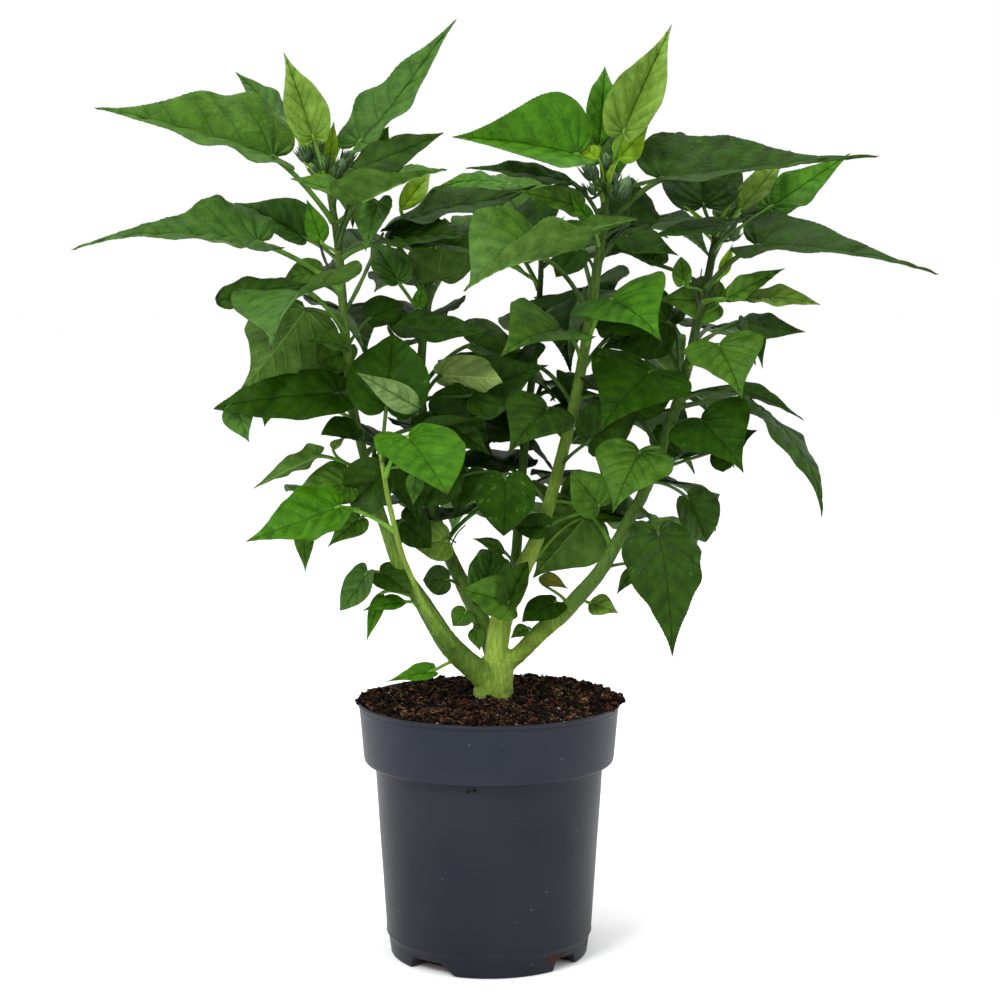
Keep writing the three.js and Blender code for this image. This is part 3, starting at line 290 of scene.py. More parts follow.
class Piece:
    """collects points and faces, in millimetres, for one mesh"""

    def __init__(self):
        self.v, self.f3, self.f4, self.m3, self.m4, self.u3, self.u4, self.a, self.n = [], [], [], [], [], [], [], [], 0

    def add(self, verts, quads=None, tris=None, qm=0, tm=0, uv=None, attr=None):
        verts = np.asarray(verts, float).reshape(-1, 3)
        uv = np.zeros((len(verts), 2)) if uv is None else np.asarray(uv, float).reshape(-1, 2)
        for faces, mats, F, M, U in ((quads, qm, self.f4, self.m4, self.u4), (tris, tm, self.f3, self.m3, self.u3)):
            if faces is not None and len(faces):
                faces = np.asarray(faces, int)
                F.append(faces + self.n)
                M.append(np.broadcast_to(np.asarray(mats, int), (len(faces),)).copy())
                U.append(uv[faces].reshape(-1, 2))
        self.v.append(verts)
        self.a.append(np.zeros((len(verts), 2)) if attr is None else attr)
        self.n += len(verts)

    def triangles(self):
        return sum(2 * len(f) for f in self.f4) + sum(len(f) for f in self.f3)

    def build(self, name, materials, smooth=True):
        v = np.vstack(self.v) * MM
        q = np.vstack(self.f4) if self.f4 else np.zeros((0, 4), int)
        t = np.vstack(self.f3) if self.f3 else np.zeros((0, 3), int)
        me = bpy.data.meshes.new(name)
        me.vertices.add(len(v))
        me.vertices.foreach_set("co", v.astype(np.float32).ravel())
        me.loops.add(q.size + t.size)
        me.loops.foreach_set("vertex_index", np.concatenate([q.ravel(), t.ravel()]).astype(np.int32))
        me.polygons.add(len(q) + len(t))
        starts = np.concatenate([np.arange(len(q)) * 4, q.size + np.arange(len(t)) * 3])
        me.polygons.foreach_set("loop_start", starts.astype(np.int32))
        mats = np.concatenate([x for x in self.m4 + self.m3]) if (self.m4 or self.m3) else np.zeros(0)
        me.polygons.foreach_set("material_index", mats.astype(np.int32))
        me.polygons.foreach_set("use_smooth", np.full(len(q) + len(t), smooth))
        me.update(calc_edges=True)
        uv = me.uv_layers.new(name="OFBake")
        uv.data.foreach_set("uv", np.vstack(self.u4 + self.u3).astype(np.float32).ravel())
        marks = np.vstack(self.a)
        # relief holds the leaves' painted highlight on swells and painted shade in creases; tip holds their withered
        # ends
        if marks.any():
            for i, key in enumerate(("relief", "tip")):
                me.attributes.new(key, "FLOAT", "POINT").data.foreach_set("value", marks[:, i].astype(np.float32))
        me.validate(clean_customdata=False)
        for m in materials:
            me.materials.append(m)
        ob = bpy.data.objects.new(name, me)
        bpy.context.scene.collection.objects.link(ob)
        return ob


def frames_along(P):
    T = unit(np.gradient(P, axis=0))
    U = np.zeros_like(P)
    u = np.cross(T[0], [0.0, -1.0, 0.2])
    if np.linalg.norm(u) < 0.1:
        u = np.cross(T[0], [1.0, 0, 0])
    U[0] = unit(u)
    for i in range(1, len(P)):
        w = U[i - 1] - (U[i - 1] @ T[i]) * T[i]
        U[i] = unit(w)
    return T, U, np.cross(T, U)


def tube(piece, P, R, sides, mat, relief=None, caps=(True, True), uv_box=(0, 0, 1, 1)):
    """a closed limb along P with radii R; relief(angle, i) scales each ring"""
    P, R = np.asarray(P, float), np.asarray(R, float)
    T, U, V = frames_along(P)
    n = len(P)
    a = np.linspace(0, 2 * math.pi, sides, endpoint=False)
    rad = R[:, None] * np.ones(sides)
    if relief is not None:
        rad = rad * relief(a[None, :], np.arange(n)[:, None])
    ring = P[:, None] + rad[..., None] * (np.cos(a)[None, :, None] * U[:, None] + np.sin(a)[None, :, None] * V[:, None])
    i, j = np.meshgrid(np.arange(n - 1), np.arange(sides), indexing="ij")
    k = (j + 1) % sides
    quads = np.stack([i * sides + j, i * sides + k, (i + 1) * sides + k, (i + 1) * sides + j], -1).reshape(-1, 4)
    verts = ring.reshape(-1, 3)
    tris = []
    base = n * sides
    extra = []
    s = np.arange(sides)
    if caps[0]:
        extra.append(P[0] - T[0] * R[0] * 0.25)
        tris.append(np.stack([np.full(sides, base + len(extra) - 1), (s + 1) % sides, s], -1))
    if caps[1]:
        extra.append(P[-1] + T[-1] * R[-1] * 0.6)
        top = (n - 1) * sides
        tris.append(np.stack([np.full(sides, base + len(extra) - 1), top + s, top + (s + 1) % sides], -1))
    if extra:
        verts = np.vstack([verts, extra])
    x0, y0, x1, y1 = uv_box
    uu = x0 + (x1 - x0) * np.tile((np.abs(a / math.pi - 1)), n)
    vv = y0 + (y1 - y0) * np.repeat(np.linspace(0, 1, n), sides)
    uv = np.stack([uu, vv], -1)
    if extra:
        uv = np.vstack([uv, np.tile([[x0, y0]], (len(extra), 1))])
    piece.add(verts, quads, np.vstack(tris) if tris else None, mat, mat, uv)


# ---------------------------------------------------------------- materials
def srgb(r, g, b):
    c = [x / 255 for x in (r, g, b)]
    return tuple(x / 12.92 if x <= 0.04045 else ((x + 0.055) / 1.055) ** 2.4 for x in c) + (1,)


def material(name, low, high, rough=(0.45, 0.6), scale=60, detail=3, bumps=(), specular=0.5, coat=0.0, sheen=0.0, subsurface=None, blend=(0.35, 0.65), marks=None):
    """a plain base colour that shifts a little between two close tones, with its own
    roughness and relief; bumps lists (texture, scale, distance in mm, strength)"""
    m = bpy.data.materials.new(name)
    m.use_nodes = True
    nt = m.node_tree
    N, Lk = nt.nodes, nt.links
    b = N["Principled BSDF"]
    tc = N.new("ShaderNodeTexCoord")
    no = N.new("ShaderNodeTexNoise")
    no.inputs["Scale"].default_value = scale
    no.inputs["Detail"].default_value = detail
    no.inputs["Roughness"].default_value = 0.6
    Lk.new(tc.outputs["Object"], no.inputs["Vector"])
    ramp = N.new("ShaderNodeValToRGB")
    ramp.color_ramp.elements[0].position = blend[0]
    ramp.color_ramp.elements[0].color = low
    ramp.color_ramp.elements[1].position = blend[1]
    ramp.color_ramp.elements[1].color = high
    if marks:
        # painted highlight on the swells between veins and painted shade in the creases, read from the relief
        # attribute; withered tips
        rel = N.new("ShaderNodeAttribute")
        rel.attribute_name = "relief"
        fm = N.new("ShaderNodeMix")
        fm.data_type = "FLOAT"
        fm.inputs["Factor"].default_value = 0.2
        wide = N.new("ShaderNodeMapRange")
        wide.inputs["From Min"].default_value = 0.28
        wide.inputs["From Max"].default_value = 0.72
        Lk.new(no.outputs["Fac"], wide.inputs["Value"])
        Lk.new(wide.outputs["Result"], fm.inputs["A"])
        Lk.new(rel.outputs["Fac"], fm.inputs["B"])
        Lk.new(fm.outputs["Result"], ramp.inputs["Fac"])
        tipa = N.new("ShaderNodeAttribute")
        tipa.attribute_name = "tip"
        cm = N.new("ShaderNodeMix")
        cm.data_type = "RGBA"
        cm.inputs["B"].default_value = marks
        Lk.new(tipa.outputs["Fac"], cm.inputs["Factor"])
        Lk.new(ramp.outputs["Color"], cm.inputs["A"])
        Lk.new(cm.outputs["Result"], b.inputs["Base Color"])
    else:
        Lk.new(no.outputs["Fac"], ramp.inputs["Fac"])
        Lk.new(ramp.outputs["Color"], b.inputs["Base Color"])
    mr = N.new("ShaderNodeMapRange")
    mr.inputs["From Min"].default_value = 0.3
    mr.inputs["From Max"].default_value = 0.7
    mr.inputs["To Min"].default_value = rough[0]
    mr.inputs["To Max"].default_value = rough[1]
    Lk.new(no.outputs["Fac"], mr.inputs["Value"])
    Lk.new(mr.outputs["Result"], b.inputs["Roughness"])
    b.inputs["Specular IOR Level"].default_value = specular
    b.inputs["Coat Weight"].default_value = coat
    b.inputs["Sheen Weight"].default_value = sheen
    if subsurface:
        b.inputs["Subsurface Weight"].default_value = subsurface[0]
        b.inputs["Subsurface Radius"].default_value = subsurface[1]
        b.inputs["Subsurface Scale"].default_value = subsurface[2]
    last = None
    for kind, sc, dist, strength in bumps:
        if kind == "cells":
            t = N.new("ShaderNodeTexVoronoi")
            t.feature = "DISTANCE_TO_EDGE"
            t.inputs["Scale"].default_value = sc
            out = t.outputs["Distance"]
            cap = N.new("ShaderNodeMapRange")
            cap.inputs["From Max"].default_value = 0.25
            Lk.new(out, cap.inputs["Value"])
            Lk.new(tc.outputs["Object"], t.inputs["Vector"])
            out = cap.outputs["Result"]
        else:
            t = N.new("ShaderNodeTexNoise")
            t.inputs["Scale"].default_value = sc
            t.inputs["Detail"].default_value = 4
            Lk.new(tc.outputs["Object"], t.inputs["Vector"])
            out = t.outputs["Fac"]
        bp = N.new("ShaderNodeBump")
        bp.inputs["Strength"].default_value = strength
        bp.inputs["Distance"].default_value = dist * MM
        Lk.new(out, bp.inputs["Height"])
        if last is not None:
            Lk.new(last.outputs["Normal"], bp.inputs["Normal"])
        last = bp
    if last is not None:
        Lk.new(last.outputs["Normal"], b.inputs["Normal"])
    return m


def scaled(c, k):
    return tuple(min(1, x * k) for x in c[:3]) + (1,)


# the tones of the leaves' upper faces: darker and lighter of each. Tones were given leaf by leaf to match how light or
# dark each leaf looks where it hangs, so they also hold painted light and shade: the dark tones d, e and k, with the
# underside tone c, paint shade on leaves inside the crown
TONES = {
    "b": ((46, 94, 8), (68, 118, 14)),
    "l": ((86, 120, 34), (110, 142, 54)),
    "m": ((48, 86, 13), (70, 108, 25)),
    "g": ((46, 84, 18), (68, 106, 36)),
    "e": ((24, 54, 1), (37, 71, 3)),
    "d": ((28, 53, 5), (43, 74, 12)),
    "k": ((19, 43, 1), (31, 60, 3)),
    "p": ((72, 98, 46), (104, 130, 72)),
    "y": ((98, 140, 12), (130, 166, 32)),
    "o": ((62, 74, 14), (92, 92, 26)),
    "u": ((48, 86, 13), (70, 108, 25)),
}
UNDER = {"b": "a", "l": "a", "m": "a", "g": "a", "e": "c", "d": "c", "k": "c", "p": "p", "y": "b", "o": "a", "u": "a"}
UNDER_TONES = {"a": ((58, 92, 26), (84, 118, 46)), "b": ((100, 134, 30), (126, 158, 50)), "c": ((40, 70, 20), (62, 94, 36)), "p": ((116, 142, 68), (146, 168, 94))}
leaf_bumps = (("cells", 200, 0.5, 0.4), ("noise", 240, 1.3, 0.6), ("noise", 75, 3.0, 0.4), ("noise", 900, 0.1, 0.25))
WITHERED = srgb(52, 36, 24)
MAT = {}
for k, (lo, hi) in TONES.items():
    lo, hi = scaled(srgb(*lo), 0.8), scaled(srgb(*hi), 1.1)
    MAT["up_" + k] = material("leaf_upper_" + k, lo, hi, (0.42, 0.56), 95, 5, leaf_bumps, specular={"e": 0.05, "k": 0.05, "d": 0.07, "b": 0.09}.get(k, 0.11), blend=(0.1, 0.9), marks=WITHERED)
    # vein colour: darker than the blade on the lighter tones, as painted shade in the sunken groove; paler on the
    # darker tones, as the veins' own colour
    f = 1.0 if k == "p" else 0.82 if k in "blmyug" else 1.25
    MAT["vein_" + k] = material("leaf_vein_" + k, scaled(lo, f), scaled(lo, f * 1.25), (0.45, 0.6), 80, 2, (("noise", 500, 0.15, 0.3),), specular=0.12)
for k, (lo, hi) in UNDER_TONES.items():
    lo, hi = scaled(srgb(*lo), 0.85), scaled(srgb(*hi), 1.05)
    MAT["under_" + k] = material("leaf_under_" + k, lo, hi, (0.6, 0.75), 95, 5, (("cells", 220, 0.4, 0.5), ("noise", 240, 1.0, 0.5), ("noise", 80, 2.0, 0.4)), specular=0.1, blend=(0.12, 0.88), marks=WITHERED)
    MAT["rib_" + k] = material("leaf_rib_" + k, scaled(hi, 1.1), scaled(hi, 1.35), (0.5, 0.65), 80, 2, (("noise", 500, 0.15, 0.3),), specular=0.14)
MAT["petiole"] = material("petiole", srgb(80, 126, 24), srgb(106, 150, 44), (0.4, 0.55), 70, 3, (("noise", 700, 0.12, 0.35),), specular=0.25)
MAT["petiole_m"] = material("petiole_mid", srgb(58, 98, 20), srgb(82, 124, 36), (0.4, 0.55), 70, 3, (("noise", 700, 0.12, 0.35),), specular=0.22)
MAT["petiole_d"] = material("petiole_dark", srgb(40, 68, 16), srgb(62, 92, 28), (0.45, 0.6), 70, 3, (("noise", 700, 0.12, 0.35),), specular=0.22)

# ---------------------------------------------------------------- leaves
OUT = {
    "a": [(1, 0), (0.93, 0.045), (0.84, 0.12), (0.70, 0.30), (0.53, 0.58), (0.36, 0.86), (0.20, 1.0), (0.05, 0.95), (-0.07, 0.70), (-0.115, 0.42), (-0.075, 0.14), (0, 0)],
    "h": [(1, 0), (0.95, 0.12), (0.84, 0.36), (0.66, 0.70), (0.47, 0.93), (0.28, 1.0), (0.08, 0.92), (-0.08, 0.68), (-0.14, 0.40), (-0.08, 0.12), (0, 0)],
    "c": [(1, 0), (0.93, 0.03), (0.84, 0.075), (0.70, 0.17), (0.53, 0.37), (0.36, 0.65), (0.20, 0.92), (0.06, 1.0), (-0.07, 0.82), (-0.125, 0.5), (-0.08, 0.16), (0, 0)],
    "n": [(1, 0), (0.92, 0.10), (0.78, 0.34), (0.60, 0.70), (0.42, 0.96), (0.26, 1.0), (0.12, 0.80), (0.03, 0.42), (-0.005, 0.15), (0, 0)],
}
OUTLINE = {}
for k, pts in OUT.items():
    per = 24
    c = catmull(pts, per * (len(pts) - 1))
    OUTLINE[k] = c[: per * (len(pts) - 2) + 1]  # up to where the notch's edge runs to the petiole


def bezier(P0, Pc, P1, t):
    t = t[:, None]
    return (1 - t) ** 2 * P0 + 2 * t * (1 - t) * Pc + t**2 * P1


def half_leaf(shape, ratio, L, r, gap_rows, cols, small):
    """rows of points from midrib to margin, in units of the blade's length, for
    one half of a blade, with what each row is; rows follow the side veins"""
    O = OUTLINE[shape] * [1, ratio]
    d = np.r_[0, np.cumsum(np.linalg.norm(np.diff(O, axis=0), axis=1))]
    total = d[-1]
    e = d / total
    cot = 1 / math.tan(math.radians(r.uniform(44, 52)))
    M = np.maximum(O[:, 0] - O[:, 1] * cot, 0)
    M = np.minimum.accumulate(M)
    at = lambda q: np.array([np.interp(q, e, O[:, 0]), np.interp(q, e, O[:, 1])])
    mid = lambda q: float(np.interp(q, e, M))
    # veins along the midrib, then those that fan out from the petiole
    wanted = [0.86, 0.71, 0.53, 0.33, 0.14] if not small else [0.76, 0.46, 0.16]
    veins = []
    for w in wanted:
        w = w + r.uniform(-0.035, 0.035)
        if w < M[0]:
            veins.append(float(np.interp(-w, -M, e)))
    e0 = float(e[np.argmax(M <= 0)])
    for w in ([0.05, 0.4, 0.72] if not small else [0.1, 0.6]):
        veins.append(e0 + (1 - e0) * (w + r.uniform(-0.03, 0.03)))
    veins = sorted(v for v in veins if 0.03 < v < 0.97)
    stops = [0.012] + veins + [1.0]
    t_last = 1 - min(0.2, 1.3 / (L * max(ratio, 0.15)))
    rows, kind, ends = [], [], []

    def curve(q):
        P0, P1 = np.array([mid(q), 0.0]), at(q)
        dv = P1 - P0
        bend = 0.11 * min(1, (1 - q) * 6)
        Pc = (P0 + P1) / 2 + bend * np.array([-dv[1], dv[0]])
        reach = np.linalg.norm(Pc - P0) * 2
        wm = (0.95 * (1 - 0.75 * P0[0]) * (L / 110) ** 0.6) / L
        t1 = float(np.clip(wm / (reach + 1e-6), 0.01, 0.3))
        t = np.r_[0, t1, t1 + (t_last - t1) * (np.arange(1, cols) / (cols - 1)), 1.0]
        return bezier(P0, Pc, P1, t), t

    edge = []  # (upper edge row, lower edge row) of each stop
    for i, q in enumerate(stops):
        c, t = curve(q)
        if i in (0, len(stops) - 1):
            edge.append((c, c, t))
        else:
            n = unit(np.gradient(c, axis=0))
            n = np.stack([-n[:, 1], n[:, 0]], -1)
            w0 = (0.62 if mid(q) <= 0 else 0.5) * (L / 110) ** 0.5 / L
            w = w0 * (1 - 0.72 * t) * np.minimum(1, t / 0.05 + 0.1)
            # n points back towards the base where the vein heads out and forwards
            edge.append((c - n * w[:, None], c + n * w[:, None], t))
    for i in range(len(stops) - 1):
        a, b, ta, tb = edge[i][1], edge[i + 1][0], edge[i][2], edge[i + 1][2]
        first = i == 0
        fs = np.linspace(0, 1, gap_rows + 2)
        for f in fs:
            row = a * (1 - f) + b * f
            q = stops[i] * (1 - f) + stops[i + 1] * f
            target = at(q)
            row = row + (target - row[-1]) * (((1 - f) * ta + f * tb) ** 2)[:, None] * (0 < f < 1)
            rows.append(row)
            ends.append(q)
            kind.append((i, f))
    return np.array(rows), kind, np.array(ends), total


# leaves that are wrinkled all over, with wavy margins
CRUMPLED = ("L43a", "L43b", "L43c", "L52", "L23", "L35", "L8", "L32")
# leaves whose pale side ribs show on the underside
RIBBED = ("L22",)


def leaf(piece, slots, stem, row, res, tint=None):
    name, t, paz, pel, pl, az, el, L, W, roll, fold, sag, twist, hook, shape = row
    tone = shape[1]
    shape = shape[0]
    r = rng_of("leaf", name, stem)
    A = STEM_LINE[stem][int(round(t * 160))][:3]
    B = A + pl * direction(paz, pel)
    c = direction(az, el)
    N = face_up(c, roll)
    S = np.cross(c, N)
    ratio = W / (2 * L)
    small = L < 46
    gap_rows, cols = ((2, 5) if small else (3, 8)) if res else (2, 6)
    wave_amp = r.uniform(0.014, 0.034) if L > 40 else 0.008
    wave_n = r.uniform(1.8, 3.4)
    wave_p = r.uniform(0, 6.28, 2)
    curl = r.uniform(0.05, 0.28) * (1 if tone != "u" else 0.4)
    if name in CRUMPLED:
        wave_amp = 0.035
    quilt = (0.55 if name in ("L26", "L29", "L66") else 1.25) * (L / 110) ** 0.7 * r.uniform(0.8, 1.2)
    thick = 0.34 if L > 40 else 0.26
    d = math.radians(fold)
    lump = seed_of("lump", name)

    def surface(x, y, h):
        s = np.sign(y)
        ay = np.sqrt(y**2 + 0.010**2) - 0.010
        a = math.radians(twist) * x
        Nn = np.cos(a)[:, None] * N + np.sin(a)[:, None] * S
        Ss = -np.sin(a)[:, None] * N + np.cos(a)[:, None] * S
        bow = np.where(x > 0, 4 * sag * x * (1 - x), 4 * sag * x)
        slope = np.where(x > 0, 4 * sag * (1 - 2 * x), 4 * sag)
        droop = np.clip((x - 0.55) / 0.45, 0, 1) ** 2 * hook
        dslope = 2 * np.clip((x - 0.55) / 0.45, 0, 1) / 0.45 * hook
        u = ay / max(ratio, 0.1)
        lift = ay * math.sin(d) - curl * ratio * u**2 * 0.5
        lift = lift + wave_amp * u**2 * np.sin(2 * math.pi * wave_n * x + wave_p[(s > 0).astype(int)])
        flat = np.stack([x * L, y * L, np.zeros_like(x)], -1)
        lift = lift + (0.011 * waves(flat, 0.42 * L, lump) + 0.006 * waves(flat, 0.17 * L, lump + 1)) * np.minimum(1, u * 3)
        if name in CRUMPLED:
            lift = lift + (0.022 * waves(flat, 0.24 * L, lump + 2) + 0.010 * waves(flat, 0.11 * L, lump + 3)) * np.minimum(1, u * 2)
        P = B + L * (x[:, None] * c + (bow - droop)[:, None] * N + Ss * (y * math.cos(d))[:, None] + Nn * lift[:, None])
        tilt = math.sin(d) - curl * u * 1.0
        n = unit(Nn - (y / (np.abs(y) + 0.012) * tilt)[:, None] * Ss - (slope - dslope)[:, None] * c)
        return P + n * h[:, None], n

    cell = slots["uv"]()
    for side in (1, -1):
        rows, kind, ends, total = half_leaf(shape, ratio, L, r, gap_rows, cols, small)
        nr, nc = rows.shape[:2]
        f = np.array([k[1] for k in kind])
        vein_row = (f == 0) | (f == 1)
        # teeth: the margin steps out a little between rows
        margin = rows[:, -1]
        out = unit(margin - rows[:, -2] + 1e-9)
        jag = (0.0045 if not small else 0.004) * r.uniform(0.5, 1.1, nr - 1)
        forward = unit(margin[:-1] - margin[1:] + 1e-9)
        apex = (margin[:-1] + margin[1:]) / 2 + (unit(out[:-1] + out[1:]) * jag[:, None] + forward * jag[:, None] * 0.6) * np.minimum(1, np.linalg.norm(margin[:-1] - margin[1:], axis=1) * L / 1.5)[:, None]
        tt = np.linspace(0, 1, nc)
        S_t = np.minimum(1, tt * 5) * (1 - tt**5)
        bulge = quilt * np.sin(math.pi * f)[:, None] ** 0.75 * S_t[None, :]
        x2, y2 = rows[..., 0].ravel(), rows[..., 1].ravel()
        dip = np.zeros((nr, nc))
        dip[vein_row] -= 0.16 * (1 - 0.6 * tt)
        dip[:, 0] -= 0.5 * (L / 110) ** 0.5
        up_h = (bulge + dip).ravel()
        rib = np.zeros((nr, nc))
        rib[vein_row] += 0.42 * (L / 110) ** 0.5 * (1 - 0.75 * tt)
        rib[:, 0] += (1.15 - 0.8 * np.clip(rows[:, 0, 0], 0, 1)) * (L / 110) ** 0.5
        rib[:, 1] += (0.35 - 0.25 * np.clip(rows[:, 1, 0], 0, 1)) * (L / 110) ** 0.5
        low_h = (bulge - thick - rib).ravel() - np.minimum(0, dip).ravel() * 0
        tip_x, tip_h = np.array([1.0]), np.array([0.0])
        yv = y2 * side
        yv = np.where(np.abs(yv) < 1e-6, -0.0012 * side, yv)
        for face in ("up", "low"):
            h = up_h if face == "up" else low_h
            P, n = surface(x2, yv, h)
            Pa, _ = surface(apex[:, 0], apex[:, 1] * side, np.full(nr - 1, 0.0 if face == "up" else -0.08))
            Pt, _ = surface(np.array([1.004]), np.array([0.0]), np.array([-0.05]))
            V = np.vstack([P, Pa, Pt])
            i, j = np.meshgrid(np.arange(nr - 1), np.arange(nc - 2), indexing="ij")
            quads = np.stack([i * nc + j, i * nc + j + 1, (i + 1) * nc + j + 1, (i + 1) * nc + j], -1)
            # cells of the veins: between the two edge rows of a vein, and the midrib's column
            is_vein = np.zeros((nr - 1, nc - 2), bool)
            is_vein[(f[:-1] == 1) & (f[1:] == 0)] = True
            is_vein[:, max(3, nc - 3):] = False
            is_vein[:, 0] = True
            blade, vein = (slots["up"][tone], slots["vein"][tone]) if face == "up" else (slots["under"][UNDER[tone]], slots["rib"][UNDER[tone]])
            if face == "low":
                is_vein[:, 1:] &= name in RIBBED
            qm = np.where(is_vein, vein, blade).ravel()
            quads = quads.reshape(-1, 4)
            i = np.arange(nr - 1)
            a0, a1 = i * nc + nc - 2, (i + 1) * nc + nc - 2
            b0, b1 = i * nc + nc - 1, (i + 1) * nc + nc - 1
            ap = nr * nc + i
            tris = np.vstack([np.stack([a0, ap, a1], -1), np.stack([a0, b0, ap], -1), np.stack([a1, ap, b1], -1)])
            j = np.arange(nc - 1)
            tip = nr * nc + nr - 1
            tipt = np.stack([np.full(nc - 1, tip), j + 1, j], -1)
            tris = np.vstack([tris, tipt])
            # orientation
            q = V[quads]
            fn = np.cross(q[:, 2] - q[:, 0], q[:, 3] - q[:, 1])
            want = n.reshape(nr, nc, 3)[:-1, : nc - 2].reshape(-1, 3) * (1 if face == "up" else -1)
            if (fn * want).sum() < 0:
                quads, tris = quads[:, ::-1], tris[:, ::-1]
            # relief mark: painted highlight on the swells between veins, painted shade toward the veins, the creases
            # and the margin
            swell_light_shade = (np.sin(math.pi * f) ** 0.8)[:, None] * S_t[None, :] * (0.75 + 0.5 * np.sin(np.arange(nr) * 2.4 + lump % 7))[:, None]
            brown = np.clip((np.r_[x2, apex[:, 0], 1.0] - (1 - 7.0 / L)) * L / 7.0, 0, 1) * (0.8 if L > 60 else 0.35)
            mark = np.stack([np.r_[np.clip(swell_light_shade, 0, 1).ravel(), np.full(nr - 1, 0.35), 0.3], brown], -1)
            x0, y0, w = cell["up" if face == "up" else "low"]
            flat = np.vstack([np.stack([x2, y2 * side], -1), np.stack([apex[:, 0], apex[:, 1] * side], -1), [[1, 0]]])
            uv = np.stack([x0 + w * (flat[:, 0] + 0.2) / 1.25, y0 + w * (flat[:, 1] + 0.6) / 1.2], -1)
            piece.add(V, quads, tris, qm, blade, uv, mark)
    return A, B, c, N


STEM_LINE = {k: catmull(v, 160) for k, v in STEMS.items()}


def petiole(piece, mat, stem, t, A, B, c, L, r, uv_box):
    T = unit(STEM_LINE[stem][min(160, int(t * 160) + 3)][:3] - STEM_LINE[stem][max(0, int(t * 160) - 3)][:3])
    rs = STEM_LINE[stem][int(round(t * 160))][3]
    D = B - A
    pl = np.linalg.norm(D)
    D = D / max(pl, 1e-6)
    start = A + D * min(rs * 0.6, pl * 0.4)
    t0 = unit(D + 0.35 * T + 0.05 * r.normal(size=3)) * pl
    t1 = unit(D + 0.9 * c) * pl * 0.8
    s = np.linspace(0, 1, 14)[:, None]
    P = (2 * s**3 - 3 * s**2 + 1) * start + (s**3 - 2 * s**2 + s) * t0 + (-2 * s**3 + 3 * s**2) * B + (s**3 - s**2) * t1
    w = (0.95 + 0.75 * min(1.3, L / 110))
    R = w * (1 + 0.55 * np.exp(-s[:, 0] * 9) + 0.25 * np.exp(-(1 - s[:, 0]) * 12))
    P = np.vstack([P, P[-1] + c * 2.5])
    R = np.r_[R, R[-1] * 0.45]
    tube(piece, P, R, 8, mat, caps=(False, True), uv_box=uv_box)

